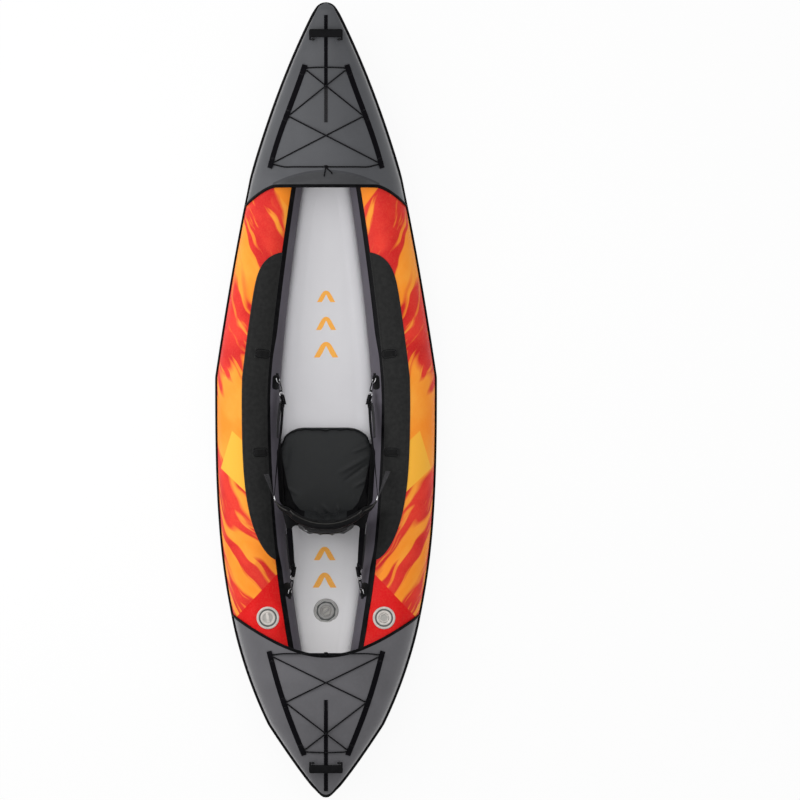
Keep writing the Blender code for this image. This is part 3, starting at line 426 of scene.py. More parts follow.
def take(item):
    """Select one piece alone and make it active."""
    bpy.ops.object.select_all(action="DESELECT")
    item.select_set(True)
    bpy.context.view_layer.objects.active = item
    return item


def edit(item, *steps):
    """Run operators on a whole piece in edit mode."""
    take(item)
    bpy.ops.object.mode_set(mode="EDIT")
    bpy.ops.mesh.select_all(action="SELECT")
    for step, settings in steps:
        step(**settings)
    bpy.ops.object.mode_set(mode="OBJECT")
    return item


def weld(item):
    """Merge doubled points and turn the faces outwards."""
    return edit(item, (bpy.ops.mesh.remove_doubles, {"threshold": WELD_DISTANCE}),
                (bpy.ops.mesh.normals_make_consistent, {"inside": False}))


def apply_modifier(item, kind, **settings):
    take(item)
    mod = item.modifiers.new(kind.lower(), kind)
    for key, value in settings.items():
        setattr(mod, key, value)
    bpy.ops.object.modifier_apply(modifier=mod.name)
    return item


def thicken(item, thickness, evenly=True):
    """Give a surface a thickness on its outer side."""
    return apply_modifier(item, "SOLIDIFY", thickness=thickness, offset=1.0,
                          use_even_offset=evenly)


def cut(item, tool):
    """Cut a piece with another, and throw the second away."""
    apply_modifier(item, "BOOLEAN", operation="DIFFERENCE", solver="EXACT", object=tool)
    bpy.data.objects.remove(tool, do_unlink=True)
    return item


def join(item, others):
    take(item)
    for other in others:
        other.select_set(True)
    bpy.ops.object.join()
    return item


def surface(name, points, out=UP):
    """A grid primitive laid on rows of points, with its cloth map in metres."""
    rows, columns = len(points), len(points[0])
    bpy.ops.mesh.primitive_grid_add(x_subdivisions=columns - 1, y_subdivisions=rows - 1, size=2)
    item = added(name)
    mesh = item.data
    spots = coordinates(mesh)
    i = np.rint((spots[:, 0] + 1) / 2 * (columns - 1)).astype(int)
    j = np.rint((spots[:, 1] + 1) / 2 * (rows - 1)).astype(int)
    points = np.array([[tuple(p) for p in row] for row in points])
    mesh.vertices.foreach_set("co", points[j, i].ravel())
    across = np.linalg.norm(np.diff(points, axis=1), axis=2)
    along = np.linalg.norm(np.diff(points[:, columns // 2], axis=0), axis=1)
    cloth = np.zeros((rows, columns, 2))
    cloth[:, 1:, 0] = np.cumsum(across, axis=1)
    cloth[1:, :, 1] = np.cumsum(along)[:, None]
    corners = np.empty(len(mesh.loops), int)
    mesh.loops.foreach_get("vertex_index", corners)
    layer = mesh.uv_layers[0]
    layer.name = "cloth"
    layer.data.foreach_set("uv", cloth[j, i][corners].ravel())
    a, b = rows // 2, columns // 2
    turn = np.cross(points[a, b] - points[a, b - 1], points[a, b] - points[a - 1, b])
    if turn @ np.array(out) < 0:
        mesh.flip_normals()
    mesh.update()
    return item


def circle_point(radius, turn):
    return radius * math.cos(turn), radius * math.sin(turn)


def oval(half_width, half_height, x_power, y_power, sides):
    """Points round a flattened oval, which powers under 1 make squarer."""
    return [(half_width * curved(math.cos(turn), x_power),
             half_height * curved(math.sin(turn), y_power))
            for turn in spread(0, 2 * math.pi, sides)]


def circle(radius, sides):
    return oval(radius, radius, 1, 1, sides)


def with_ends(rows, closing):
    """Rows of points with closing rows before the first and after the last."""
    return [*closing(rows[0], -1)[::-1], *rows, *closing(rows[-1], 1)]


def strip(width, thickness, across=6, round_=2):
    """The cut edge-on of a flat strap, with rounded sides."""
    half, r = width / 2 - thickness / 2, thickness / 2
    top = [(x, r) for x in spread(half, -half, across)]
    turns = [math.pi / 2 + math.pi * k / (round_ + 1) for k in range(1, round_ + 1)]
    left = [(-half + r * math.cos(t), r * math.sin(t)) for t in turns]
    low = [(-x, -z) for x, z in top]
    right = [(-x, -z) for x, z in left]
    return [*top, *left, *low, *right, top[0]]


def swept(name, path, outline, ups=None, cap=0.0, ring=False, sizes=None):
    """A piece whose outline follows a path. ups turns the outline's second axis."""
    path = [Vector(p) for p in path]
    count = len(path)
    ahead = [(path[(k + 1) % count] - path[k - 1] if ring else run_at(path, k)).normalized()
             for k in range(count)]
    if ups is None:
        up = ahead[0].orthogonal().normalized()
        ups = []
        for way in ahead:
            up = (up - way * up.dot(way)).normalized()
            ups.append(up)
    rows = []
    for k, (point, way) in enumerate(zip(path, ahead)):
        side = way.cross(Vector(ups[k])).normalized()
        up = side.cross(way)
        size = sizes[k] if sizes else 1.0
        rows.append([point + (side * a + up * b) * size for a, b in outline])

    def closing(row, way):
        at = 0 if way < 0 else -1
        out = ahead[at] * way * cap
        shoulder = [mix(point, path[at], 0.18) + out * 0.7 for point in row]
        return [shoulder, [path[at] + out] * len(outline)]

    rows = [*rows, rows[0]] if ring else with_ends(rows, closing)
    return weld(surface(name, rows))


def scatter(name, master, places):
    """One mesh of many copies of a small shape, which is used up."""
    count = len(master.data.vertices)
    spots = coordinates(master.data)
    faces = [tuple(face.vertices) for face in master.data.polygons]
    points, polygons = [], []
    for k, place in enumerate(places):
        turn = np.array(place)
        points.append(spots @ turn[:3, :3].T + turn[:3, 3])
        polygons += [tuple(v + k * count for v in face) for face in faces]
    mesh = bpy.data.meshes.new(name)
    mesh.from_pydata(np.concatenate(points).tolist(), [], polygons)
    item = bpy.data.objects.new(name, mesh)
    bpy.context.scene.collection.objects.link(item)
    bpy.data.objects.remove(master, do_unlink=True)
    return item


def settle(item, place=None):
    """Put a piece where it belongs, with its object at the origin."""
    if place is not None:
        item.matrix_world = place @ item.matrix_basis
    take(item)
    bpy.ops.object.transform_apply(location=True, rotation=True, scale=True)
    return item


def cylinder(sides, radius, depth, place):
    bpy.ops.mesh.primitive_cylinder_add(vertices=sides, radius=radius, depth=depth)
    return settle(bpy.context.object, place)


def block(name, size, place, round_=0.001):
    """A small moulded block with rounded edges."""
    bpy.ops.mesh.primitive_cube_add(size=1)
    item = added(name)
    item.scale = size
    settle(item)
    apply_modifier(item, "BEVEL", width=round_, segments=3)
    return settle(item, place)


def fair(points, steps=6):
    """More points along a smooth curve through a few."""
    points = [Vector(p) for p in points]
    route = []
    for k in range(len(points) - 1):
        before, a = points[max(k - 1, 0)], points[k]
        b, after = points[k + 1], points[min(k + 2, len(points) - 1)]
        for n in range(steps):
            t = n / steps
            route.append((a * 2 + (b - before) * t + (before * 2 - a * 5 + b * 4 - after) * t * t
                          + (a * 3 - before - b * 3 + after) * t ** 3) * 0.5)
    return [*route, points[-1]]


def even(points, spacing):
    """The same route with points at an equal spacing."""
    points = np.array([tuple(p) for p in points])
    run = np.concatenate([[0], np.cumsum(np.linalg.norm(np.diff(points, axis=0), axis=1))])
    count = max(2, round(run[-1] / spacing))
    marks = np.linspace(0, run[-1], count + 1)
    return [Vector([np.interp(m, run, points[:, axis]) for axis in range(3)]) for m in marks]


def closed(corners, place, spacing):
    """A closed route through corners of a frame, with points at an equal spacing."""
    return even([place @ Vector(p) for p in [*corners, corners[0]]], spacing)[:-1]


def ripple(place, seed=0.0):
    """A fine uneven wave from -1 to 1 along a seam."""
    slow = 0.55 + 0.45 * math.sin(place * 15.1 + seed * 2.3)
    return slow * (0.5 * math.sin(place * 290 + seed) + 0.3 * math.sin(place * 183 + seed * 1.7)
                   + 0.2 * math.sin(place * 471 + seed * 0.6))


def finish(item, material, body="hull", slot=None, replaces=(), angle=40):
    """Give a piece its material and its body, and hide the nodes that it stands for."""
    take(item)
    bpy.ops.object.shade_smooth_by_angle(angle=math.radians(angle))
    item.data.materials.clear()
    item.data.materials.append(material)
    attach(item, body)
    slot or material["slot"]
    if replaces:
        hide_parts(*replaces)
    return item


# Materials

class Finish:
    """The nodes of one material, added from its pattern to its shader."""

    def __init__(self, name, slot, roughness, **sockets):
        self.material = bpy.data.materials.new(name)
        self.material["slot"] = slot
        self.material.use_nodes = True
        self.nodes = self.material.node_tree.nodes
        self.links = self.material.node_tree.links
        self.shader = self.nodes["Principled BSDF"]
        self.set(Roughness=roughness, **sockets)

    def set(self, **sockets):
        for key, value in sockets.items():
            self.feed(self.shader.inputs[key.replace("_", " ")], value)

    def feed(self, socket, value):
        if isinstance(value, bpy.types.NodeSocket):
            self.links.new(value, socket)
        else:
            socket.default_value = value

    def node(self, kind, inputs=(), output=0, **settings):
        made = self.nodes.new("ShaderNode" + kind)
        for key, value in settings.items():
            setattr(made, key, value)
        for key, value in dict(inputs).items():
            self.feed(made.inputs[key], value)
        return made.outputs[output]

    def place(self):
        return self.node("TexCoord", output=3)

    def cloth(self):
        return self.node("UVMap", uv_map="cloth")

    def laid(self, vector, scale=(1, 1, 1), turn=0.0, shift=(0, 0, 0)):
        if turn:
            vector = self.node("Mapping", {"Vector": vector, "Rotation": (0, 0, turn)})
        return self.node("Mapping", {"Vector": vector, "Scale": scale, "Location": shift})

    def noise(self, vector, scale, detail=3.0, distortion=0.0):
        return self.node("TexNoise", {"Vector": vector, "Scale": scale, "Detail": detail,
                                      "Distortion": distortion})

    def bands(self, vector, pitch, direction, distortion=0.0):
        """Waves of a pitch in metres along one axis."""
        return self.node("TexWave", {"Vector": vector, "Scale": 1 / (pitch * 3.18),
                                     "Distortion": distortion, "Detail Scale": 40.0},
                         output=1, bands_direction=direction)

    def sum(self, operation, a, b=0.5, clamp=False):
        return self.node("Math", {0: a, 1: b}, operation=operation, use_clamp=clamp)

    def part(self, value, low, high, to_low=0.0, to_high=1.0):
        """A value stretched between two marks, without passing them."""
        return self.node("MapRange", {"Value": value, "From Min": low, "From Max": high,
                                      "To Min": to_low, "To Max": to_high})

    def blend(self, factor, a, b):
        colours = [(*c, 1.0) if isinstance(c, tuple) else c for c in (a, b)]
        return self.node("Mix", {0: factor, 6: colours[0], 7: colours[1]}, output=2,
                         data_type="RGBA")

    def axes(self, vector):
        split = self.nodes.new("ShaderNodeSeparateXYZ")
        self.links.new(vector, split.inputs[0])
        return split.outputs

    def raise_by(self, height, distance, strength=1.0):
        """Feed a height in metres to the shader's normal, and hand over the material."""
        self.set(Normal=self.node("Bump", {"Height": height, "Distance": distance,
                                           "Strength": strength}))
        return self.material

    def weave(self, pitch, warp=1.0, weft=1.0):
        """Height of a plain weave on the cloth map."""
        cloth = self.cloth()
        a = self.sum("MULTIPLY", self.bands(cloth, pitch, "X"), warp)
        b = self.sum("MULTIPLY", self.bands(cloth, pitch, "Y"), weft)
        return self.sum("ADD", a, b)


def shade(colour, factor):
    return tuple(c * factor for c in colour)


def coated_fabric(name, slot, colour, roughness=0.5, tone=0.10, sheen=0.0, shine=0.22):
    """Coated hull fabric: its scrim shows faintly under a satin skin with soft marks, and painted
    shade darkens it where its sag attribute is set.
    """
    made = Finish(name, slot, roughness, Sheen_Weight=sheen, Sheen_Roughness=0.45,
                  Specular_IOR_Level=shine)
    place = made.place()
    broad = made.noise(place, 4.0, 4.0, 0.6)
    fine = made.noise(place, 70.0, 5.0)
    base = made.blend(made.part(broad, 0.35, 0.65), shade(colour, 1 - tone),
                      shade(colour, 1 + tone))
    base = made.blend(made.part(fine, 0.45, 0.75, 0.0, 0.22), base, shade(colour, 1.35))
    # Painted shade: where the sag attribute is set, the cloth darkens to about half, for the shaded
    # lip of the bow deck.
    base = made.blend(made.node("Attribute", output=2, attribute_name="sag"), base,
                      shade(colour, 0.48))
    made.set(Base_Color=base, Roughness=made.part(fine, 0.3, 0.7, roughness - 0.07,
                                                  roughness + 0.08))
    height = made.sum("ADD", made.weave(SCRIM_PITCH, 0.5, 0.5),
                      made.sum("MULTIPLY", made.noise(place, 900.0, 2.0), 0.8))
    return made.raise_by(height, 0.00016, 0.8)


def print_fabric():
    """The printed skin: plain slanted streaks, an amber band and a deep red block."""
    red, deep, orange = (0.760, 0.040, 0.026), (0.600, 0.016, 0.016), (0.920, 0.262, 0.018)
    amber, plain = (0.915, 0.450, 0.045), (0.680, 0.0050, 0.0075)
    made = Finish("print_fabric", "print_fabric", 0.48, Specular_IOR_Level=0.09)
    place, cloth = made.place(), made.cloth()
    x, y, _ = made.axes(place)
    x = made.sum("ABSOLUTE", x)
    warp = made.noise(place, 3.2, 2.0)
    bent = made.node("VectorMath", {0: cloth, 1: made.laid(
        made.node("CombineXYZ", {0: warp, 1: warp}), (0.10, 0.16, 1))}, operation="ADD")
    lean = math.radians(-33)
    wide = made.noise(made.laid(bent, (13.0, 1.9, 1), lean), 1.0, 1.6)
    thin = made.noise(made.laid(bent, (34.0, 3.6, 1), lean, (3, 7, 0)), 1.0, 2.5)
    wash = made.noise(made.laid(bent, (9.0, 5.0, 1), lean, (9, 2, 0)), 1.0, 4.0)
    ground = made.blend(made.part(wash, 0.38, 0.62), deep, red)
    streak = made.sum("ADD", made.part(wide, 0.515, 0.565), made.sum(
        "MULTIPLY", made.part(thin, 0.56, 0.64), 0.75), clamp=True)
    tint = made.blend(made.part(wash, 0.35, 0.70), orange, (0.945, 0.370, 0.045))
    colour = made.blend(streak, ground, tint)
    corner = made.sum("ADD", made.sum("MULTIPLY", x, -1.35), made.sum("MULTIPLY", y, 1.0))
    colour = made.blend(made.part(corner, 0.585, 0.592), colour, orange)
    across = made.sum("ADD", y, made.sum("MULTIPLY", x, -0.95))
    band = made.sum("MULTIPLY", made.part(across, -0.700, -0.697),
                    made.part(across, -0.500, -0.497, 1.0, 0.0))
    band = made.sum("MULTIPLY", band, made.part(made.sum("ADD", x, made.sum(
        "MULTIPLY", y, 0.30)), 0.351, 0.353, 1.0, 0.0))
    colour = made.blend(band, colour, amber)
    stern = made.sum("ADD", y, made.sum("MULTIPLY", x, 1.05))
    colour = made.blend(made.part(stern, -0.512, -0.509, 1.0, 0.0), colour, plain)
    grain = made.noise(place, 160.0, 4.0)
    colour = made.blend(made.part(grain, 0.4, 0.8, 0.0, 0.06), colour, (0.95, 0.40, 0.20))
    made.set(Base_Color=colour, Roughness=made.part(grain, 0.3, 0.7, 0.36, 0.50))
    height = made.sum("ADD", made.weave(SCRIM_PITCH, 0.5, 0.5),
                      made.sum("MULTIPLY", made.noise(place, 900.0, 2.0), 0.7))
    return made.raise_by(height, 0.00014, 0.8)


def floor_fabric():
    """Drop-stitch floor: a light woven face, with painted light that makes it paler towards the
    stern and painted shade that darkens it towards its sides.
    """
    made = Finish("floor_fabric", "floor_fabric", 0.55, Specular_IOR_Level=0.3)
    place = made.place()
    x, y, _ = made.axes(place)
    light, pale, wall_shade = (0.700, 0.692, 0.715), (0.920, 0.905, 0.910), (0.610, 0.610, 0.655)
    # Painted light: the floor grows paler towards the stern, against the shade round the seat.
    base = made.blend(made.part(y, -0.45, -1.02), light, pale)
    base = made.blend(made.part(made.noise(place, 2.6, 3.0), 0.40, 0.66, 0.0, 0.25), base,
                      (0.790, 0.785, 0.800))
    # Painted shade: darker and cooler towards the sides, beside the chambers' walls.
    edge = made.sum("SUBTRACT", made.sum("ABSOLUTE", x), made.sum("MULTIPLY", made.sum(
        "ABSOLUTE", y), -0.06))
    base = made.blend(made.part(edge, 0.10, 0.20, 0.0, 0.20), base, wall_shade)
    threads = made.weave(FLOOR_PITCH)
    base = made.blend(made.part(threads, 0.4, 1.9, 0.16, 0.0), base, (0.48, 0.48, 0.51))
    made.set(Base_Color=base)
    height = made.sum("ADD", threads, made.noise(place, 700.0, 2.0))
    return made.raise_by(height, 0.00035, 0.9)


def pad_foam():
    made = Finish("pad_foam", "pad_foam", 0.72, Sheen_Weight=0.08, Specular_IOR_Level=0.12)
    place = made.place()
    pores = made.node("TexVoronoi", {"Vector": place, "Scale": 420.0})
    fine = made.noise(place, 60.0, 5.0)
    base = made.blend(made.part(fine, 0.35, 0.7), (0.0120, 0.0122, 0.0122),
                      (0.0185, 0.0187, 0.0185))
    base = made.blend(made.part(pores, 0.05, 0.35, 0.5, 0.0), base, (0.012, 0.012, 0.012))
    made.set(Base_Color=base)
    return made.raise_by(made.sum("ADD", pores, fine), 0.00045, 0.8)


def webbing(name="webbing", dark=(0.0018, 0.0017, 0.0024), light=(0.0060, 0.0056, 0.0075)):
    """Woven strap: a herringbone of thick threads, paler where it rubs."""
    made = Finish(name, "webbing", 0.80, Sheen_Weight=0.02, Specular_IOR_Level=0.03)
    cloth = made.cloth()
    rib = made.bands(made.laid(cloth, turn=math.radians(32)), 0.0021, "Y")
    cross = made.bands(cloth, 0.0032, "X")
    fine = made.noise(made.place(), 240.0, 3.0)
    base = made.blend(made.part(rib, 0.15, 0.9), dark, light)
    base = made.blend(made.part(fine, 0.55, 0.8, 0.0, 0.35), base, shade(light, 2.2))
    made.set(Base_Color=base)
    return made.raise_by(made.sum("ADD", rib, made.sum("MULTIPLY", cross, 0.6)), 0.00045, 0.9)


def piping_tape():
    made = Finish("piping_tape", "piping", 0.55, Specular_IOR_Level=0.06)
    place = made.place()
    wear = made.noise(place, 38.0, 5.0)
    made.set(Base_Color=made.blend(made.part(wear, 0.42, 0.72), (0.0022, 0.0022, 0.0028),
                                   (0.0075, 0.0075, 0.0085)),
             Roughness=made.part(wear, 0.3, 0.7, 0.36, 0.56))
    return made.raise_by(made.noise(place, 500.0, 3.0), 0.00030, 0.8)


def braided_cord():
    """Elastic cord in a braided cover, with a fine pale fleck."""
    made = Finish("braided_cord", "cord", 0.80, Sheen_Weight=0.02, Specular_IOR_Level=0.04)
    cloth = made.cloth()
    one = made.bands(made.laid(cloth, turn=math.radians(38)), 0.0018, "Y")
    two = made.bands(made.laid(cloth, turn=math.radians(-38)), 0.0018, "Y")
    braid = made.sum("MAXIMUM", one, two)
    fleck = made.bands(made.laid(cloth, turn=math.radians(38)), 0.0090, "Y")
    base = made.blend(made.part(braid, 0.2, 0.95), (0.0018, 0.0018, 0.0022),
                      (0.0075, 0.0075, 0.0088))
    made.set(Base_Color=made.blend(made.part(fleck, 0.90, 0.98, 0.0, 0.5), base,
                                   (0.050, 0.050, 0.055)))
    return made.raise_by(braid, 0.0004, 0.9)


def seat_nylon(name="seat_nylon", colour=(0.0100, 0.0112, 0.0120), sheen=0.13, shine=0.28):
    """Coated nylon of the seat: a tight plain weave with a soft broad shine."""
    made = Finish(name, "seat_fabric", 0.50, Sheen_Weight=sheen, Sheen_Roughness=0.35,
                  Specular_IOR_Level=shine)
    place = made.place()
    rows = made.sum("ADD", made.bands(place, 0.0016, "X", 0.4), made.bands(place, 0.0016, "Y", 0.4))
    broad = made.noise(place, 9.0, 4.0)
    base = made.blend(made.part(broad, 0.35, 0.65), shade(colour, 0.82), shade(colour, 1.14))
    base = made.blend(made.part(rows, 0.2, 1.9, 0.0, 0.35), base, shade(colour, 1.5))
    made.set(Base_Color=base, Roughness=made.part(broad, 0.3, 0.7, 0.44, 0.58))
    return made.raise_by(rows, 0.00022, 0.7)


def moulded(name, slot, colour, roughness=0.42, speck=0.12, grain=0.0002, **sockets):
    """Moulded plastic or rubber with a fine cast grain and handling marks."""
    made = Finish(name, slot, roughness, **sockets)
    place = made.place()
    marks = made.noise(place, 55.0, 5.0)
    made.set(Base_Color=made.blend(made.part(marks, 0.38, 0.70), shade(colour, 1 - speck),
                                   shade(colour, 1 + speck)),
             Roughness=made.part(marks, 0.3, 0.7, roughness - 0.08, roughness + 0.10))
    return made.raise_by(made.noise(place, 1100.0, 2.0), grain, 0.7)


def cast_metal():
    """Plated zinc, bright with fine drawn scratches."""
    made = Finish("plated_zinc", "zinc", 0.26, Metallic=1.0)
    place = made.place()
    marks = made.noise(made.laid(place, (1, 6, 1)), 180.0, 4.0)
    made.set(Base_Color=made.blend(made.part(marks, 0.35, 0.7), (0.50, 0.50, 0.52),
                                   (0.68, 0.68, 0.69)),
             Roughness=made.part(marks, 0.3, 0.7, 0.18, 0.36))
    return made.raise_by(marks, 0.00008, 0.6)


def plain_thread(name, colour, slot):
    made = Finish(name, slot, 0.7, Sheen_Weight=0.2)
    twist = made.noise(made.place(), 1400.0, 1.0)
    made.set(Base_Color=made.blend(twist, shade(colour, 0.6), shade(colour, 1.4)))
    return made.raise_by(twist, 0.0002, 0.6)


def chevron_ink():
    made = Finish("chevron_ink", "print_fabric", 0.48)
    place = made.place()
    coat = made.noise(place, 120.0, 4.0)
    made.set(Base_Color=made.blend(made.part(coat, 0.35, 0.7), (0.930, 0.385, 0.034),
                                   (0.960, 0.450, 0.052)))
    return made.raise_by(made.weave(FLOOR_PITCH), 0.0002, 0.7)


DECK_CLOTH = coated_fabric("deck_fabric", "deck_fabric", (0.063, 0.065, 0.072), 0.50, 0.08,
                           0.40, shine=0.38)
STERN_CLOTH = coated_fabric("stern_fabric", "deck_fabric", (0.106, 0.104, 0.113), 0.52, 0.08,
                            0.40, shine=0.30)
HULL_CLOTH = coated_fabric("hull_fabric", "hull_fabric", (0.150, 0.150, 0.165), 0.52, 0.08,
                           0.1)
INNER_CLOTH = coated_fabric("inner_fabric", "inner_fabric", (0.097, 0.089, 0.108), 0.58,
                            0.10)
# Painted shade: a darker copy of the deck cloth for the strip along the bow deck's crease, standing
# in for the fold's shadow.
CREASE_SHADE_CLOTH = coated_fabric("deck_crease_painted_shade", "deck_fabric", (0.046, 0.047, 0.052), 0.6,
                             0.08)
PRINT = print_fabric()
FLOOR_CLOTH = floor_fabric()
FOAM = pad_foam()
WEBBING_BLACK = webbing()
WEBBING_GREY = webbing("webbing_grey", (0.012, 0.012, 0.0135), (0.030, 0.029, 0.031))
# Painted highlight: a paler copy of the black webbing for the doubled strap ends and loose tails
# seen edge-on.
WEBBING_PAINTED_HIGHLIGHT = webbing("webbing_painted_highlight", (0.020, 0.020, 0.022), (0.058, 0.057, 0.060))
WEBBING_PAD = webbing("webbing_pad", (0.0070, 0.0070, 0.0074), (0.0150, 0.0150, 0.0152))
TAPE_BLACK = piping_tape()
CORD_BRAID = braided_cord()
NYLON = seat_nylon()
# A darker, duller copy of the seat nylon: painted shade on the cushion's sides and borders and on
# the apron's sides; it also clothes the backrest, its wings and gussets, the side flaps and the
# ring patches.
NYLON_DARK_AND_SHADE = seat_nylon("seat_nylon_dark_and_shade", (0.0036, 0.0036, 0.0041), 0.02, 0.07)
# Painted highlight: a paler copy of the seat nylon for the upper and front piping, where the light
# catches it; the lower and rear piping stay black.
EDGE_TAPE_PAINTED_HIGHLIGHT = seat_nylon("seat_edge_tape_painted_highlight", (0.0290, 0.0280, 0.0260), 0.12, 0.15)
VALVE_LIGHT = moulded("valve_light", "valve_plastic", (0.555, 0.520, 0.485), 0.40)
VALVE_GREY = moulded("valve_grey", "valve_plastic", (0.330, 0.323, 0.315), 0.42)
# Painted shade: a darker copy of the valve plastic for the recessed dish of the cap.
VALVE_PAINTED_SHADE = moulded("valve_painted_shade", "valve_plastic", (0.390, 0.375, 0.350), 0.45)
VALVE_RIM = moulded("valve_rim", "valve_plastic", (0.480, 0.470, 0.460), 0.42)
# Painted shade: a dark ring in the gap between the cap and the seat, standing in for that gap's
# shadow.
VALVE_GAP_SHADE = moulded("valve_gap_painted_shade", "valve_plastic", (0.085, 0.095, 0.092), 0.55)
RUBBER = moulded("handle_rubber", "handle_rubber", (0.0045, 0.0045, 0.0052), 0.55, 0.3,
                 0.0004, Specular_IOR_Level=0.07)
BLACK_PLASTIC = moulded("black_plastic", "piping", (0.0060, 0.0060, 0.0068), 0.42, 0.3,
                        Specular_IOR_Level=0.25)
ZINC = cast_metal()
DARK_METAL = moulded("dark_plated", "zinc", (0.024, 0.024, 0.026), 0.34, 0.3,
                     Metallic=1.0)
THREAD = plain_thread("black_thread", (0.020, 0.020, 0.023), "webbing")
GREY_THREAD = plain_thread("grey_thread", (0.075, 0.075, 0.079), "webbing")
INK = chevron_ink()


# Hull

VALVE_FRAMES = {side: fitting_frame(side, SIDE_VALVE_Y, SIDE_VALVE_ANGLE, GAP + SKIN)
                for side in (-1, 1)}
FLOOR_VALVE = Matrix.Translation((0, FLOOR_VALVE_Y, floor_top(FLOOR_VALVE_Y)))


def valve_hole(item, frame_, scale=1.0):
    """Cut the round hole that a valve is clamped in."""
    return cut(item, cylinder(64, VALVE_HOLE * scale, 0.06, frame_))


def dimpled(point, side):
    """The skin lies flat under a side valve's flange."""
    seat = VALVE_FRAMES[side]
    local = seat.inverted() @ point
    if local.z < -0.05:
        return point
    flat = 1 - smooth_step(0.050, 0.088, math.hypot(local.x, local.y))
    return seat @ Vector((local.x, local.y, mix(local.z, -SKIN, flat)))


def hull_skin(name, side, limits, ends, lift, thickness, columns, rows, puckers, seed):
    """A panel of fabric round a chamber, drawn in unevenly beside its welded edges."""
    grid = []
    for y in spread(*ends, rows):
        radius = section(y)[0]
        angles = limits(y) if callable(limits) else limits
        row = []
        for angle in spread(*angles, columns):
            drop = 0.0
            for edge, depth in zip(angles, puckers):
                away = math.radians(abs(angle - edge)) * radius
                drop += depth * math.exp(-away / 0.016) * (0.5 + 0.5 * ripple(y, seed + edge))
            row.append(dimpled(chamber(side, y, angle, lift - drop), side))
        grid.append(row)
    return thicken(surface(name, grid), thickness)


def air_chamber(side):
    """The tube under the panels, whose outer flank shows below the seam."""
    def closing(row, way):
        middle = sum(row[1:], Vector()) / (len(row) - 1)
        return [[mix(p, middle, part) + Vector((0, way * reach, 0)) for p in row]
                for part, reach in ((0.12, 0.008), (0.5, 0.018), (1.0, 0.022))]

    rows = [[dimpled(chamber(side, y, angle), side) for angle in spread(0, 360, 56)]
            for y in spread(-TUBE_END, TUBE_END, 120)]
    return weld(surface(side_name(side) + "_chamber_tube", with_ends(rows, closing)))


def gunwale_pad(side):
    """A foam pad with a rolled edge and a pressed groove inside it."""
    outline = []
    for turn in spread(0, math.pi, 180):
        t = -math.cos(turn)
        width = (1 - abs(t) ** (14 if t > 0 else 4)) ** (1 / 1.6)
        y = PAD_MIDDLE + PAD_HALF_LENGTH * t
        reach = section(y)[0] + PAD_LIFT
        inner = reach * math.cos(math.radians(PAD_INNER_ANGLE))
        outer = reach * math.cos(math.radians(PAD_OUTER_ANGLE)) + 0.005
        x = mix(inner, outer, max(width, 0.02))
        outline.append((y, math.degrees(math.acos(x / reach))))
    border = np.array([(chamber(1, y, angle).x, y) for y, angle in outline])
    groove_depth, groove_place, groove_width = PAD_GROOVE
    top, under = [], []
    for y, outer in outline:
        upper, lower = [], []
        for turn in spread(0, math.pi, 36):
            angle = mix(PAD_INNER_ANGLE, outer, 0.5 - 0.5 * math.cos(turn))
            place = chamber(1, y, angle)
            edge = min(np.hypot(*(border - (place.x, y)).T).min() * 1.05,
                       math.radians(PAD_INNER_ANGLE - angle) * section(y)[0])
            roll = math.sqrt(max(0.0, 1 - (1 - min(edge / PAD_ROLL, 1)) ** 2))
            groove = groove_depth * math.exp(-((edge - groove_place) / groove_width) ** 2)
            lift = PAD_LIFT + 0.0006 + (PAD - 0.0006) * roll - groove
            upper.append(chamber(side, y, angle, lift))
            lower.append(chamber(side, y, angle, PAD_LIFT))
        top.append(upper)
        under.append(lower)
    name = side_name(side) + "_foam_pad"
    lid = surface(name, top)
    base = surface(name + "_base", under)
    rims = []
    for pick in (0, -1):
        rims.append(surface(name + "_rim", [[row[pick] for row in grid] for grid in (top, under)]))
        rims.append(surface(name + "_end", [top[pick], under[pick]]))
    return weld(join(lid, [base, *rims]))


def bottom_panel():
    """The panel under both chambers, wrapped up round their lower sides."""
    rows = []
    for y in [*spread(-1.640, -1.600, 12), *spread(-1.575, 1.590, 120), *spread(1.605, 1.645, 12)]:
        right = [chamber(1, y, angle, GAP) for angle in spread(-40, -92, 13)]
        flat = [Vector((right[-1].x * part, y, right[-1].z - 0.0004 * (1 - part)))
                for part in (0.66, 0.33)]
        half = [*right, *flat]
        centre = Vector((0, y, right[-1].z - 0.0004))
        rows.append([*mirrored(half), centre, *half[::-1]])
    return thicken(surface("bottom_skin", rows, out=-UP), BOTTOM_SKIN)


def edge_band(name, side, angles, ends, lift, thickness):
    """A welded band over the edge of a panel."""
    rows = [[chamber(side, y, angle, lift) for angle in spread(*angles, 4)]
            for y in spread(*ends, 130)]
    return thicken(surface(name, rows, out=(side, 0, 0.3)), thickness)


def floor_deck():
    """The drop-stitch floor: flat faces, full round sides and a step at its edge tape."""
    e = FLOOR_HALF_THICKNESS

    def closing(row, way):
        middle = floor_line(row[0].y)[1]
        return [[Vector((p.x, p.y + way * reach, mix(p.z, middle, part))) for p in row]
                for part, reach in ((0.10, 0.010), (0.35, 0.016), (1.0, 0.018))]

    rows = []
    for y in spread(*FLOOR_ENDS, 110):
        half, middle = floor_line(y)
        turns = [math.radians(a) for a in spread(90, -90, 16)]
        side = [Vector((half + e * math.cos(a), y, middle + e * math.sin(a))) for a in turns]
        flat = [Vector((part * (half - 0.0235), y, middle + e - FLOOR_TAPE))
                for part in (0.0, 0.2, 0.4, 0.6, 0.8, 1.0)]
        right = [*flat, Vector((half - 0.022, y, middle + e)), *side, Vector((0, y, middle - e))]
        rows.append([*right, *mirrored(right[-2::-1])])
    return weld(surface("floor_deck", with_ends(rows, closing)))


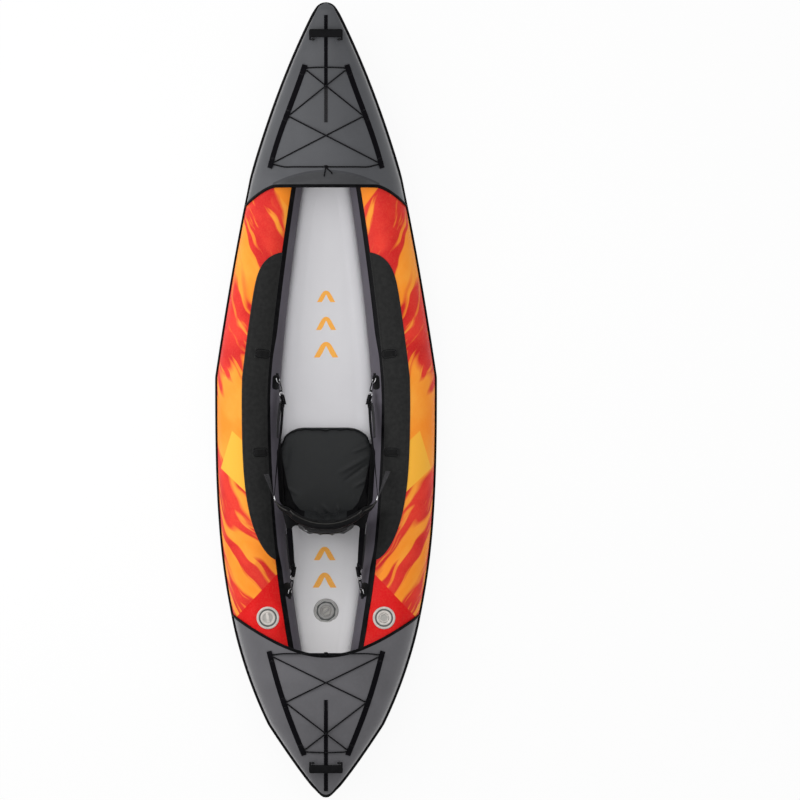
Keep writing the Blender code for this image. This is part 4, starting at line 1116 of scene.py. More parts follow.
def chevron(name, x, y, width, length, weight):
    """A printed mark on the floor: two legs that meet in a rounded arch."""
    legs = [(-0.50, -0.50), (-0.33, -0.10), (-0.19, 0.27), (-0.10, 0.44), (0.0, 0.50),
            (0.10, 0.44), (0.19, 0.27), (0.33, -0.10), (0.50, -0.50)]
    line = fair([(a * width, b * length, 0) for a, b in legs], 5)
    rows = [[], [], []]
    for k, point in enumerate(line):
        run = run_at(line, k).normalized()
        part = abs(2 * k / (len(line) - 1) - 1)
        level = smooth_step(0.72, 0.98, part)
        side = mix(Vector((-run.y, run.x, 0)), Vector((-math.copysign(1.0, run.y), 0, 0)), level)
        half = mix(0.0088, 0.0120, part) * weight
        for row, reach in zip(rows, (1, 0, -1)):
            spot = point + side * half * reach
            row.append(Vector((x + spot.x, y + spot.y, floor_top(y + spot.y) - 0.0005)))
    return thicken(surface(name, rows), 0.0004)


# Decks

def arch_y(x):
    return ARCH[0] - ARCH[1] * (x / ARCH[2]) ** 2


def deck_relief(end, x, y, column):
    """How far the deck's fabric stands off its plain arch."""
    edge = edge_y(end, column)
    away = abs(y - edge)
    relief = 0.0011 * math.exp(-away / 0.020) * ripple(x, 2.0 if end == "bow" else 5.0)
    seam = (1 - abs(column)) * 0.2
    relief += 0.0007 * math.exp(-seam / 0.010) * (ripple(y, 1.0 + column) - 1)
    relief -= 0.0036 * (1 - smooth_step(0.05, 0.22, 1 - abs(column)))
    if end == "bow":
        relief += 0.0030 * smooth_step(1.604, 1.628, y)
        ahead = y - arch_y(x)
        crest = 0.0085 * (math.exp(-ahead / 0.030) if ahead > 0 else math.exp(ahead / 0.026))
        crest -= 0.0045 * math.exp(-((ahead + 0.040) / 0.022) ** 2)
        relief += crest * smooth_step(0.27, 0.19, abs(x)) if abs(x) < 0.27 else 0.0
    return relief


def deck(end):
    columns = [math.sin(math.pi / 2 * t) * 0.55 + t * 0.45 for t in spread(-1, 1, 96)]
    rows = []
    for t in spread(0, 1, 90):
        part = mix(t ** 1.15, 1 - (1 - t) ** 1.7, t)
        row = []
        for column in columns:
            y = mix(edge_y(end, column), DECK_TIPS[end], part)
            base = deck_point(column, y)
            spot = deck_point(column, y, DECK_LIFT + deck_relief(end, base.x, y, column))
            past = max(0.0, 1 - abs(DECK_TIPS[end] - y) / NOSE_ROUND)
            rim = chamber(1, y, 0).z + 0.002
            fall = (1 - math.sqrt(1 - 0.90 * past * past)) / (1 - math.sqrt(0.10))
            spot.z = mix(spot.z, min(spot.z, rim), fall)
            row.append(spot)
        rows.append(row)
    cover = thicken(surface(end + "_deck_cover", rows), DECK, evenly=False)
    # Painted shade: sag marks the lip between the bow deck's crease and its cockpit edge, where the
    # cloth is darkened as if in shade.
    sag = cover.data.attributes.new("sag", "FLOAT", "POINT")
    if end == "bow":
        for vert, value in zip(cover.data.vertices, sag.data):
            x, y, _ = vert.co
            value.value = (smooth_step(-0.004, 0.006, arch_y(x) - y)
                           * (1 - smooth_step(0.15, 0.235, abs(x))))
    return cover


def deck_height(x, y, clear=0.0):
    relief = max(0.0, deck_relief("bow", x, y, 0.0)) if y > 0 else 0.0
    return deck_arch(x, y, DECK_TOP) + clear + relief


def deck_normal(x, y):
    step = 0.004
    slope_x = (deck_arch(x + step, y, DECK_TOP) - deck_arch(x - step, y, DECK_TOP)) / (2 * step)
    slope_y = (deck_arch(x, y + step, DECK_TOP) - deck_arch(x, y - step, DECK_TOP)) / (2 * step)
    return Vector((-slope_x, -slope_y, 1)).normalized()


def hem_route(end):
    """The bound cockpit edge of a deck, led down to the outer seam at both sides."""
    toward = -1 if end == "bow" else 1
    columns = spread(-1, 1, 64)
    edge = [deck_point(column, edge_y(end, column), HEM_LIFT) for column in columns]
    route = []
    for k, column in enumerate(columns):
        run = run_at(edge, k)
        shift = HEM_OFFSET * run.length / math.hypot(run.x, run.z)
        route.append(deck_point(column, edge[k].y + toward * shift, HEM_LIFT - 0.0012))
    first, last = (chamber(side, route[k].y, 0, PIPING_LIFT) for side, k in ((-1, 0), (1, -1)))
    return even([first, *route, last], 0.008)


def edge_binding(end):
    """The flat tape that binds a deck's edge, beside its rolled hem."""
    inward = 1 if end == "bow" else -1
    rows = []
    for reach in (-0.0030, 0.0000, 0.0018, 0.0036):
        row = []
        for column in spread(-0.985, 0.985, 110):
            y = edge_y(end, column) + inward * reach
            base = deck_point(column, y)
            lift = DECK_TOP + deck_relief(end, base.x, y, column) + 0.0001
            row.append(deck_point(column, y, lift))
        rows.append(row)
    return thicken(surface(end + "_edge_binding", rows), 0.0009)


def hull_welt():
    """The piping round the whole outer seam."""
    half = []
    for y in spread(-1.60, 1.60, 200):
        here, ahead = chamber(1, y, 0), chamber(1, y + 0.004, 0)
        run = Vector((ahead.x - here.x, 0.004, 0)).normalized()
        half.append(here + Vector((run.y, -run.x, 0)) * PIPING_LIFT)
    for sign in (1, -1):
        tip = [Vector((half_beam(sign * y) - PIPING_RADIUS, sign * y, chamber(1, sign * y, 0).z))
               for y in (1.612, 1.622, 1.630, 1.636, 1.641, 1.6435)]
        half = [*half, *tip] if sign > 0 else [*tip[::-1], *half]
    other = mirrored(reversed(half))
    bow = Vector((0, LENGTH / 2 - PIPING_RADIUS, half[-1].z))
    stern = Vector((0, -LENGTH / 2 + PIPING_RADIUS, half[0].z))
    route = even([stern, *half, bow, *other, stern], 0.009)[:-1]
    sizes = [mix(1.0, 1.45, smooth_step(0.84, 1.00, abs(p.y))) for p in route]
    return swept("outer_welt", route, circle(PIPING_RADIUS, 12), ring=True, sizes=sizes)


def tape_limits(y):
    """The seam tape is wide beyond the pad and narrow beside it."""
    beside = smooth_step(-0.72, -0.60, y) * smooth_step(0.30, 0.16, y)
    return 125.6, mix(138.5, 133.6, beside)


def make_hull():
    for side in (-1, 1):
        name = side_name(side)
        tube = valve_hole(air_chamber(side), VALVE_FRAMES[side])
        finish(tube, HULL_CLOTH, replaces=[name + "_air_chamber"])
        printed = hull_skin(name + "_print_skin", side, PRINT_ANGLES, PRINT_ENDS, GAP, SKIN,
                            columns=44, rows=170, puckers=(0.0008, 0.0006), seed=side * 3.1)
        finish(valve_hole(printed, VALVE_FRAMES[side]), PRINT, replaces=[name + "_print_panel"])
        wall = hull_skin(name + "_wall_skin", side, WALL_ANGLES, WALL_ENDS, GAP, SKIN,
                         columns=22, rows=150, puckers=(0.0007, 0.0), seed=side * 1.7)
        finish(wall, INNER_CLOTH, replaces=[name + "_inner_wall"])
        tape = hull_skin(name + "_seam_band", side, tape_limits, PRINT_ENDS, TAPE_LIFT, TAPE,
                         columns=6, rows=170, puckers=(0.0002, 0.0003), seed=side * 4.3)
        finish(tape, TAPE_BLACK, replaces=[name + "_seam_tape"])
        pad = finish(gunwale_pad(side), FOAM, replaces=[name + "_gunwale_pad"], angle=50)
        band = edge_band(name + "_bottom_band", side, BAND_ANGLES, BAND_ENDS,
                         GAP + BOTTOM_SKIN + 0.0002, 0.0007)
        finish(band, HULL_CLOTH)
    finish(bottom_panel(), HULL_CLOTH, replaces=["bottom_panel"])
    floor = valve_hole(floor_deck(), FLOOR_VALVE, FLOOR_VALVE_SCALE)
    finish(floor, FLOOR_CLOTH, replaces=["floor_air_deck"])
    for k, mark in enumerate(FLOOR_MARKS, 1):
        finish(chevron(f"floor_mark_{k}", *mark), INK)
    finish(hull_welt(), TAPE_BLACK, replaces=["hull_piping"])
    for end, cloth in (("bow", DECK_CLOTH), ("stern", STERN_CLOTH)):
        finish(deck(end), cloth, replaces=[end + "_deck"])
        finish(swept(end + "_hem_roll", hem_route(end), circle(HEM_RADIUS, 12)), TAPE_BLACK)
        finish(edge_binding(end), TAPE_BLACK)
    crest = [Vector((x, arch_y(x), deck_height(x, arch_y(x))))
             for x in spread(-ARCH[2], ARCH[2], 60)]
    # The crease strip's dark cloth is painted shade along the fold.
    crease = swept("bow_deck_crease", crest, strip(0.0085, 0.0008),
                   [deck_normal(p.x, p.y) for p in crest])
    finish(crease, CREASE_SHADE_CLOTH)


# Rigging of the decks

def webbing_x(end, y):
    """Where the side webbings of a deck run, measured from the centre line."""
    (low_y, low_x), (high_y, high_x), (bulge, change) = SIDE_WEBBING[end]
    t = (y - low_y) / (high_y - low_y)
    return mix(low_x, high_x, t) + math.sin(math.pi * t) * (bulge + change * t)


def stitches(name, places, thread=THREAD):
    """Rows of short thread stitches at the given frames, each along its X."""
    bpy.ops.mesh.primitive_uv_sphere_add(segments=6, ring_count=4, radius=0.5)
    master = bpy.context.object
    master.scale = (0.0030, 0.00075, 0.00055)
    return finish(scatter(name, settle(master), places), thread, angle=60)


def frames_on(path, ups):
    """Frames along a strap: X ahead, Z out of its face."""
    made = []
    for k, (point, up) in enumerate(zip(path, ups)):
        ahead = run_at(path, k).normalized()
        side = up.cross(ahead).normalized()
        made.append(frame_of(point, ahead, side, ahead.cross(side)))
    return made


def bar_of_stitches(frame_, width, count=6):
    """Stitches across a strap, side by side."""
    turned = Matrix.Rotation(math.pi / 2, 4, "Z")
    return [frame_ @ Matrix.Translation((0, offset, 0)) @ turned
            for offset in spread(-width / 2, width / 2, count)]


def deck_webbing(end, side):
    """Webbing on the deck, raised into a loop over the cord at each turn."""
    stations = RIGGING[end]
    low, high = min(stations) - 0.020, max(stations) + 0.020
    path, ups, feet = [], [], []
    for y in spread(low, high, 130):
        near = min(abs(y - station) for station in stations)
        rise = LOOP_HEIGHT * (1 - smooth_step(0.0085, 0.0175, near))
        x = side * webbing_x(end, y)
        normal = deck_normal(x, y)
        path.append(Vector((x, y, deck_height(x, y) + rise)) + normal * (WEBBING / 2 + 0.0002))
        ups.append(normal)
    frames = frames_on(path, ups)
    for station in stations:
        for offset in (-0.0195, 0.0195):
            k = min(range(len(path)), key=lambda n: abs(path[n].y - station - offset))
            for shift in (0.0, 0.0034):
                feet += bar_of_stitches(frames[k] @ Matrix.Translation(
                    (math.copysign(shift, offset), 0, WEBBING / 2)), WEBBING_WIDTH - 0.006, 5)
    name = f"{end}_{side_name(side)}"
    band = swept(name + "_lacing_webbing", path, strip(WEBBING_WIDTH, WEBBING, 8), ups)
    finish(band, WEBBING_BLACK, replaces=[name + "_deck_webbing"])
    stitches(name + "_webbing_stitches", feet)


def spine_strap(end):
    """The centre webbing of a deck, which is paler at its inner end on the bow."""
    near, change, far, width = SPINE[end]
    inner_cloth = WEBBING_GREY if end == "bow" else WEBBING_BLACK
    for label, low, high, cloth, thread in (("black", change, far, WEBBING_BLACK, THREAD),
                                            ("grey", near, change, inner_cloth, GREY_THREAD)):
        path = [Vector((0, y, deck_height(0, y, WEBBING / 2 + 0.0002)))
                for y in spread(low, high, 60)]
        ups = [deck_normal(0, p.y) for p in path]
        band = swept(f"{end}_spine_{label}", path, strip(width, WEBBING, 8), ups)
        finish(band, cloth)
        edges = [frame_ @ Matrix.Translation((0, way * (width / 2 - 0.0025), WEBBING / 2))
                 for frame_ in frames_on(path, ups)[1::2] for way in (-1, 1)]
        stitches(f"{end}_spine_{label}_stitches", edges, thread)
    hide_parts(end + "_spine_strap")


def handle_lug(end, side):
    """A lug on a patch of the deck, which holds one pin of the handle."""
    pivot, height = HANDLE_PIVOTS[end]
    name = f"{end}_{side_name(side)}_lug"
    rows = [[Vector((x, pivot + part, deck_height(x, pivot + part, 0.0003)))
             for x in spread(side * 0.041, side * 0.067, 8)]
            for part in spread(-0.015, 0.015, 8)]
    patch = thicken(surface(name + "_patch", rows), 0.0012)
    finish(patch, DECK_CLOTH if end == "bow" else STERN_CLOTH)
    foot = min(deck_height(side * LUG_PLACE, pivot + part) for part in (-0.005, 0.005))
    across = (Matrix.Translation((side * LUG_PLACE, pivot, height))
              @ Matrix.Rotation(math.pi / 2, 4, "Y"))
    lug = cylinder(40, LUG_RADIUS, 0.0062, across)
    for vert in lug.data.vertices:
        if vert.co.z < height - 0.0002:
            vert.co.z = foot
    apply_modifier(lug, "BEVEL", width=0.0007, segments=3)
    cut(lug, cylinder(32, PIN_RADIUS + 0.0004, 0.012, across))
    lug.name = lug.data.name = name
    finish(lug, BLACK_PLASTIC)


def carry_handle(end):
    """A ribbed rubber grip with two arms whose pins turn in the lugs."""
    pivot, height = HANDLE_PIVOTS[end]
    frame_ = Matrix.Translation((0, pivot, height))
    if end == "stern":
        frame_ = frame_ @ Matrix.Rotation(math.pi, 4, "Z")
    path, sizes = [], []
    for x in spread(-HANDLE_LENGTH / 2 + 0.003, HANDLE_LENGTH / 2 - 0.003, 132):
        rib = 0.045 * smooth_step(0.052, 0.046, abs(x)) if abs(x) < 0.052 else 0.0
        end_round = smooth_step(HANDLE_LENGTH / 2, HANDLE_LENGTH / 2 - 0.008, abs(x))
        sizes.append(mix(0.86, 1.0, end_round) - rib * (0.5 + 0.5 * math.cos(x * 1250)))
        path.append(Vector((x, HANDLE_REACH - 0.0052, 0)))
    grip = swept(end + "_grip", path, oval(0.0174, 0.0064, 0.45, 0.6, 24), [UP] * len(path),
                 cap=0.003, sizes=sizes)
    arms = []
    for side in (-1, 1):
        arms.append(block("arm", (0.0080, 0.027, 0.0095),
                          Matrix.Translation((side * 0.0655, 0.0095, -0.0006)), 0.0030))
        arms.append(cylinder(24, PIN_RADIUS, 0.018, Matrix.Translation((side * 0.0565, 0, 0))
                             @ Matrix.Rotation(math.pi / 2, 4, "Y")))
    finish(settle(join(grip, arms), frame_), RUBBER, end + "_handle",
           replaces=[end + "_carry_handle"])


def knot(name, frame_, size, radius):
    """A tight overhand knot."""
    route = [frame_ @ (Vector((math.sin(t) + 2 * math.sin(2 * t), math.cos(t) - 2 * math.cos(2 * t),
                               -1.5 * math.sin(3 * t))) * size)
             for t in spread(0, 2 * math.pi, 60)[:-1]]
    return swept(name, route, circle(radius, 10), ring=True)


def over_deck(x, y, clear=0.0):
    """The middle of a cord that lies on the deck."""
    return Vector((x, y, deck_height(x, y, 0.0006 + CORD_RADIUS + clear)))


def crossing(start, end, lift, bow):
    """The free cord between two loops, lifted in the middle over what lies there."""
    line = []
    for t in spread(0, 1, 24)[1:-1]:
        x = mix(start[0], end[0], t)
        raised = lift * (1 - smooth_step(0.012, 0.085, abs(x)))
        y = mix(start[1], end[1], t) + bow * math.sin(math.pi * t) ** 0.5
        line.append(over_deck(x, y, raised))
    return line


def lacing_route(end):
    """The route of the deck cord, from its knot through six loops and back."""
    bottom, mid, top = RIGGING[end]
    tie_y, over_hem = CORD_TIE[end]
    onward = 1 if end == "bow" else -1
    over_cord = 2 * CORD_RADIUS + 0.0008
    over_spine = WEBBING + 0.0010
    turn = 0.0058
    route = [over_deck(x, tie_y, over_hem) for x in (-0.008, -0.045, -0.09, -0.135, -0.175)]
    loops = ((-1, bottom, 1, 0.0), (1, mid, 1, over_spine), (-1, top, 1, over_spine),
             (1, top, -1, over_spine + over_cord), (-1, mid, -1, over_cord),
             (1, bottom, -1, 0.0))
    left, lift = None, 0.0
    for side, y, way, next_lift in loops:
        x = webbing_x(end, y)
        inner = side * (x - 0.0150)
        step = way * onward * turn
        if left:
            beyond = left[0] * inner < 0 and left[1] * onward > top * onward
            route += crossing(left, (inner, y - step), lift, 0.0030 * onward if beyond else 0.0)
        route.append(over_deck(inner, y - step))
        route += [over_deck(side * (x - 0.002 + turn * math.sin(a)), y - step * math.cos(a))
                  for a in spread(0, math.pi, 8)]
        left, lift = (inner, y + step), next_lift
        route.append(over_deck(*left))
    return [*route, *[over_deck(x, tie_y, over_hem) for x in (0.175, 0.135, 0.09, 0.045, 0.008)]]


def bungee(end):
    """The elastic cord laced over a deck, with its knot and its two short tails."""
    tie_y, over_hem = CORD_TIE[end]
    onward = 1 if end == "bow" else -1
    path = even(fair(lacing_route(end), 3), 0.0036)
    main = swept(end + "_lacing_cord", path, circle(CORD_RADIUS, 10), cap=0.0006)
    finish(main, CORD_BRAID, replaces=[end + "_bungee_cord"])
    place = Matrix.Translation(over_deck(0.0, tie_y, over_hem + 0.0012))
    ball = finish(knot(end + "_cord_knot", place, 0.0021, CORD_RADIUS * 0.95), CORD_BRAID)
    for side, reach, back in CORD_TAILS[end]:
        line = fair([over_deck(side * out, tie_y - onward * back * behind, over_hem * above + rest)
                     for out, behind, above, rest in
                     ((0.002, 0.0, 1.0, 0.001), (reach * 0.35, 0.35, 1.0, 0.0),
                      (reach * 0.8, 0.7, 0.6, 0.0), (reach, 1.0, 0.4, 0.0))], 6)
        sizes = [1.0] * (len(line) - 1) + [0.75]
        tail = swept(f"{end}_{side_name(side)}_cord_tail", line, circle(CORD_RADIUS * 0.95, 10),
                     cap=0.001, sizes=sizes)
        finish(tail, CORD_BRAID)


def paddle_keeper(side, y, spot):
    """A webbing loop on a welded patch, for a cord that holds the paddle."""
    frame_ = fitting_frame(side, y, KEEPER_ANGLE, 0.0068)
    name = f"{side_name(side)}_{spot}"
    patch = block(name + "_keeper_patch", (0.066, 0.040, 0.0044),
                  frame_ @ Matrix.Translation((0, 0, 0.0006)), 0.0011)
    finish(patch, FOAM)
    border = [frame_ @ Vector((x, y, 0.0028)) for x, y in oval(0.0295, 0.0175, 0.4, 0.4, 72)[:-1]]
    finish(swept(name + "_keeper_rim", border, circle(0.0013, 8), ring=True), TAPE_BLACK)
    half, height = 0.024, 0.0108
    rising = [Vector(p) for p in ((-half - 0.009, 0, 0.0038), (-half - 0.002, 0, 0.0042),
                                  (-half * 0.72, 0, height))]
    centre = fair([*rising, (0, 0, height + 0.0008), *mirrored(reversed(rising))], 8)
    normal = (frame_.to_3x3() @ UP).normalized()
    loop = swept(name + "_keeper_loop", [frame_ @ p for p in centre], strip(0.022, 0.0018, 8),
                 [normal] * len(centre))
    finish(loop, WEBBING_PAD, replaces=[name + "_paddle_keeper"])
    bars = []
    for x in (-half - 0.005, half + 0.005):
        for shift in (-0.0016, 0.0016):
            bars += bar_of_stitches(frame_ @ Matrix.Translation((x + shift, 0, 0.0050)), 0.016, 5)
    stitches(name + "_keeper_stitches", bars)


def make_rigging():
    for end in ("bow", "stern"):
        for side in (-1, 1):
            deck_webbing(end, side)
        spine_strap(end)
        for side in (-1, 1):
            handle_lug(end, side)
        carry_handle(end)
        bungee(end)
    for side in (-1, 1):
        for spot, y in KEEPER_SPOTS:
            paddle_keeper(side, y, spot)


# Valves and metal fittings

def turned(name, profile, frame_, scale=1.0, steps=72):
    """A closed profile of radii and heights, spun about the frame's Z."""
    bpy.ops.mesh.primitive_circle_add(vertices=len(profile), radius=0.01)
    item = added(name)
    for vert, (radius, height) in zip(item.data.vertices, profile):
        vert.co = (radius * scale, 0, height)
    apply_modifier(item, "SCREW", steps=steps, render_steps=steps, use_merge_vertices=True,
                   merge_threshold=1e-5)
    weld(item)
    return settle(item, frame_)


def eased(corners, radius=0.0005):
    """A closed outline with its corners cut off at 45 degrees."""
    soft = []
    for k, corner in enumerate(corners):
        here = Vector(corner)
        for other in (corners[k - 1], corners[(k + 1) % len(corners)]):
            way = Vector(other) - here
            soft.append(here + way * min(0.45, radius / max(way.length, 1e-6)))
    return [(max(point.x, 0.0), point.y) for point in soft]


def flat_ring(frame_, sides, radius, width, height, turn=0.0):
    """A raised ring of straight flats."""
    corners = [Vector((*circle_point(radius, 2 * math.pi * k / sides + turn), 0))
               for k in range(sides)]
    route = []
    for k, corner in enumerate(corners):
        route += [mix(corner, corners[k - 1], 0.08), mix(corner, corners[(k + 1) % sides], 0.08)]
    line = closed(route, frame_, 0.0015)
    up = frame_.to_3x3() @ UP
    return swept("flat_ring", line, strip(width, height, 2, 3), [up] * len(line), ring=True)


def valve(prefix, frame_, scale, plastic):
    """A push valve: flanged body with a dished seat, sprung plunger and lift-off cap."""
    def spun(label, ease=0.0005, steps=72):
        return turned(f"{prefix}_valve_{label}", eased(VALVE_PROFILES[label], ease), frame_,
                      scale, steps)

    body = spun("seat")
    if prefix == "floor":
        rim = frame_ @ Matrix.Translation((0, 0, 0.0046))
        outer, inner = (flat_ring(rim, 8, radius * scale, 0.0030, 0.0026, 0.25)
                        for radius in (0.0448, 0.0398))
        finish(join(outer, [inner]), VALVE_RIM).name = "floor_valve_rings"
    finish(body, plastic, replaces=[prefix + "_valve_body"])
    rib = block("rib", (0.0042 * scale, 0.0016, 0.0012), Matrix(), 0.0004)
    places = [frame_ @ Matrix.Rotation(2 * math.pi * k / 30, 4, "Z")
              @ Matrix.Translation((0.0424 * scale, 0, 0.0046)) for k in range(30)]
    finish(scatter(prefix + "_valve_ribs", rib, places), plastic)
    # The dark ring in the cap's gap is painted shade.
    finish(spun("gap_ring"), VALVE_GAP_SHADE)
    cap = spun("lid")
    # The cap's dish takes the darker plastic as painted shade in the recess.
    finish(spun("dish", 0.0002), VALVE_PAINTED_SHADE, prefix + "_cap")
    top = frame_ @ Matrix.Translation((0, 0, 0.0034))
    if prefix == "left":
        details = [block("grip", (0.0120, 0.0430, 0.0044), top, 0.0018)]
    elif prefix == "right":
        details = [flat_ring(top, 6, 0.0185, 0.0042, 0.0034, math.pi / 6)]
    else:
        details = [flat_ring(top, 8, 0.0292, 0.0040, 0.0036, 0.2),
                   flat_ring(top, 6, 0.0200, 0.0036, 0.0034, 0.3),
                   block("grip", (0.0075, 0.0270, 0.0044),
                         top @ Matrix.Rotation(-0.9, 4, "Z"), 0.0016)]
    finish(join(cap, details), plastic, prefix + "_cap", replaces=[prefix + "_valve_cap"])
    finish(spun("stem", 0.0003, 40), plastic, prefix + "_plunger",
           replaces=[prefix + "_valve_plunger"])
    coil = []
    for part in spread(0, 1, 84):
        x, y = circle_point(0.0074 * scale, 7 * math.pi * part)
        coil.append(frame_ @ Vector((x, y, mix(-0.0228, -0.0176, part))))
    spring = finish(swept(prefix + "_valve_spring", coil, circle(0.0005, 8)), ZINC)
    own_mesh(spring)


def strap_anchor(side, y, way):
    """Frame of a D-ring's pivot on the inner wall: X along the pull, Y round it, Z off it."""
    wall = fitting_frame(side, y, DRING_ANGLE, GAP + SKIN + 0.0004)
    x_axis = wall.col[1].to_3d() * way
    z_axis = wall.col[2].to_3d()
    return frame_of(wall.translation, x_axis, z_axis.cross(x_axis), z_axis)


def tilted(anchor):
    return (anchor @ Matrix.Translation((0, 0, RING_PIVOT_HEIGHT))
            @ Matrix.Rotation(-RING_TILT, 4, "Y"))


def hook_frame(anchor):
    nose = RING_LENGTH + HOOK_NOSE - HOOK_WIRE - RING_WIRE - 0.0004
    return tilted(anchor) @ Matrix.Translation((nose, 0, 0))


def wall_patch(name, side, y, way):
    """The welded patch under a D-ring, with round corners, bent to the wall."""
    rows = []
    for part in spread(-1, 1, 24):
        along = y + way * 0.016 + part * 0.031
        half = 12.0 * max(0.0, 1 - abs(part) ** 7) ** 0.5
        rows.append([chamber(side, along, DRING_ANGLE + turn * max(half, 0.4),
                             GAP + SKIN + 0.0002) for turn in spread(-1, 1, 12)])
    return finish(thicken(surface(name, rows, out=(-side, 0, 0.3)), 0.0009), NYLON_DARK_AND_SHADE,
                  slot="webbing")


def d_ring(side, spot, y, way, anchor):
    name = f"{side_name(side)}_{spot}"
    wall_patch(name + "_ring_patch", side, y, way)
    half = 0.0125
    route = [(0, -half, 0), (0, 0, 0), (0, half, 0)]
    route += [(RING_LENGTH - half + half * math.cos(a), half * math.sin(a), 0)
              for a in spread(math.pi / 2, -math.pi / 2, 18)]
    line = closed(route, tilted(anchor), 0.0018)
    ring = swept(name + "_ring_wire", line, circle(RING_WIRE, 12), ring=True)
    finish(ring, ZINC, replaces=[name + "_d_ring"])
    fold = fair([(-0.022, 0, 0.0026), (-0.009, 0, 0.0028), (-0.0036, 0, 0.0066),
                 (0.0000, 0, 0.0086), (0.0036, 0, 0.0066), (0.0038, 0, 0.0040)], 8)
    turn = anchor.to_3x3()
    ups = []
    for k in range(len(fold)):
        ahead = run_at(fold, k)
        ups.append(turn @ Vector((-ahead.z, 0, ahead.x)).normalized())
    keeper = swept(name + "_ring_keeper", [anchor @ p for p in fold], strip(0.020, 0.0014, 6), ups)
    finish(keeper, WEBBING_BLACK)
    bars = []
    for x in (-0.0205, -0.0175, -0.0100):
        bars += bar_of_stitches(anchor @ Matrix.Translation((x, 0, 0.0036)), 0.014, 5)
    stitches(name + "_ring_stitches", bars)


def snap_hook(side, spot, anchor):
    """A snap hook: bent nose, spine, swivel collar, eye and sprung gate."""
    frame_ = hook_frame(anchor)
    name = f"{side_name(side)}_{spot}"
    route = [Vector((HOOK_NOSE * math.cos(a), 0, HOOK_NOSE * math.sin(a)))
             for a in [math.radians(d) for d in spread(256, 90, 24)]]
    route += [Vector((0.010, 0, HOOK_NOSE)), Vector((0.022, 0, HOOK_NOSE + 0.0004)),
              Vector((0.031, 0, HOOK_NOSE - 0.0002)), Vector((0.0365, 0, 0.0032)),
              Vector((0.0420, 0, 0))]
    line = even(fair([frame_ @ p for p in route], 3), 0.0012)
    hook = swept(name + "_hook_body", line, circle(HOOK_WIRE, 12), cap=0.0010)
    heel = block("heel", (0.0090, 0.0075, 0.0110),
                 frame_ @ Matrix.Translation((0.0335, 0, 0.0008)), 0.0016)
    finish(join(hook, [heel]), DARK_METAL, replaces=[name + "_snap_hook"])
    line = closed([(0.0425, -0.0145, 0), (0.0425, 0.0145, 0), (0.0530, 0.0155, 0),
                   (0.0530, -0.0155, 0)], frame_, 0.0022)
    finish(swept(name + "_hook_eye", line, circle(HOOK_WIRE, 12), ring=True), ZINC)
    collar = turned(name + "_hook_collar", eased(COLLAR_PROFILE, 0.0003),
                    frame_ @ Matrix.Rotation(math.pi / 2, 4, "Y"), steps=32)
    finish(collar, ZINC)
    at_gate = frame_ @ Matrix.Translation((0.0146, 0, -HOOK_NOSE + 0.0008))
    gate = block(name + "_gate_bar", (0.0278, 0.0024, 0.0030), at_gate)
    pin = block("pin", (0.0022, 0.0064, 0.0022), at_gate @ Matrix.Translation((0.0122, 0, 0)),
                0.0008)
    finish(join(gate, [pin]), DARK_METAL, f"{name}_gate", replaces=[name + "_hook_gate"])


def strap_buckle(side):
    """The metal ladder buckle between a wing of the backrest and its front strap."""
    name = side_name(side)
    centre = WING_RING * Vector((side, 1, 1))
    along = Vector((side * 0.30, 1, -0.20)).normalized()
    across = along.cross(UP).normalized()
    up = across.cross(along)
    corners = [(-0.0105, -0.018), (0.0105, -0.018), (0.0105, 0.018), (-0.0105, 0.018)]
    rounded = []
    for k, corner in enumerate(corners):
        for other in (corners[k - 1], corners[(k + 1) % 4]):
            way = Vector(other) - Vector(corner)
            rounded.append(Vector(corner) + way.normalized() * 0.0035)
    line = even([centre + along * p.x + up * p.y for p in [*rounded, rounded[0]]], 0.002)[:-1]
    buckle = swept(name + "_ladder_frame", line, circle(0.0032, 12), ring=True)
    bar = swept(name + "_bar", [centre - up * 0.017, centre, centre + up * 0.017],
                circle(0.0019, 12))
    finish(join(buckle, [bar]), ZINC, "backrest", replaces=[name + "_strap_buckle"])


def fin_apron():
    """The welded rubber apron round the fin box."""
    rows = []
    for part in spread(-1, 1, 30):
        y = FIN_PLACE + part * 0.082
        half = max(0.052 * max(0.0, 1 - abs(part) ** 5) ** 0.5, 0.004)
        low = chamber(1, y, -92, GAP).z - BOTTOM_SKIN - 0.0003
        rows.append([Vector((x, y, low)) for x in spread(-half, half, 20)])
    return thicken(surface("fin_apron", rows, out=-UP), 0.0006)


def make_fittings():
    for side in (-1, 1):
        valve(side_name(side), VALVE_FRAMES[side], 1.0, VALVE_LIGHT)
        strap_buckle(side)
        for spot, y, way in STRAP_SPOTS:
            anchor = strap_anchor(side, y, way)
            d_ring(side, spot, y, way, anchor)
            snap_hook(side, spot, anchor)
    valve("floor", FLOOR_VALVE, FLOOR_VALVE_SCALE, VALVE_GREY)
    finish(fin_apron(), RUBBER, slot="piping")
    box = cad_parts["fin_box"]
    box.data.materials.clear()
    box.data.materials.append(BLACK_PLASTIC)


# Seat

def shaped(name, place, cuts):
    """A subdivided cube whose points, -1 to 1 on each axis, are placed by a function."""
    bpy.ops.mesh.primitive_cube_add(size=2)
    item = added(name)
    edit(item, (bpy.ops.mesh.subdivide, {"number_cuts": cuts}))
    for vert in item.data.vertices:
        vert.co = place(*vert.co)
    return edit(item, (bpy.ops.mesh.normals_make_consistent, {"inside": False}))


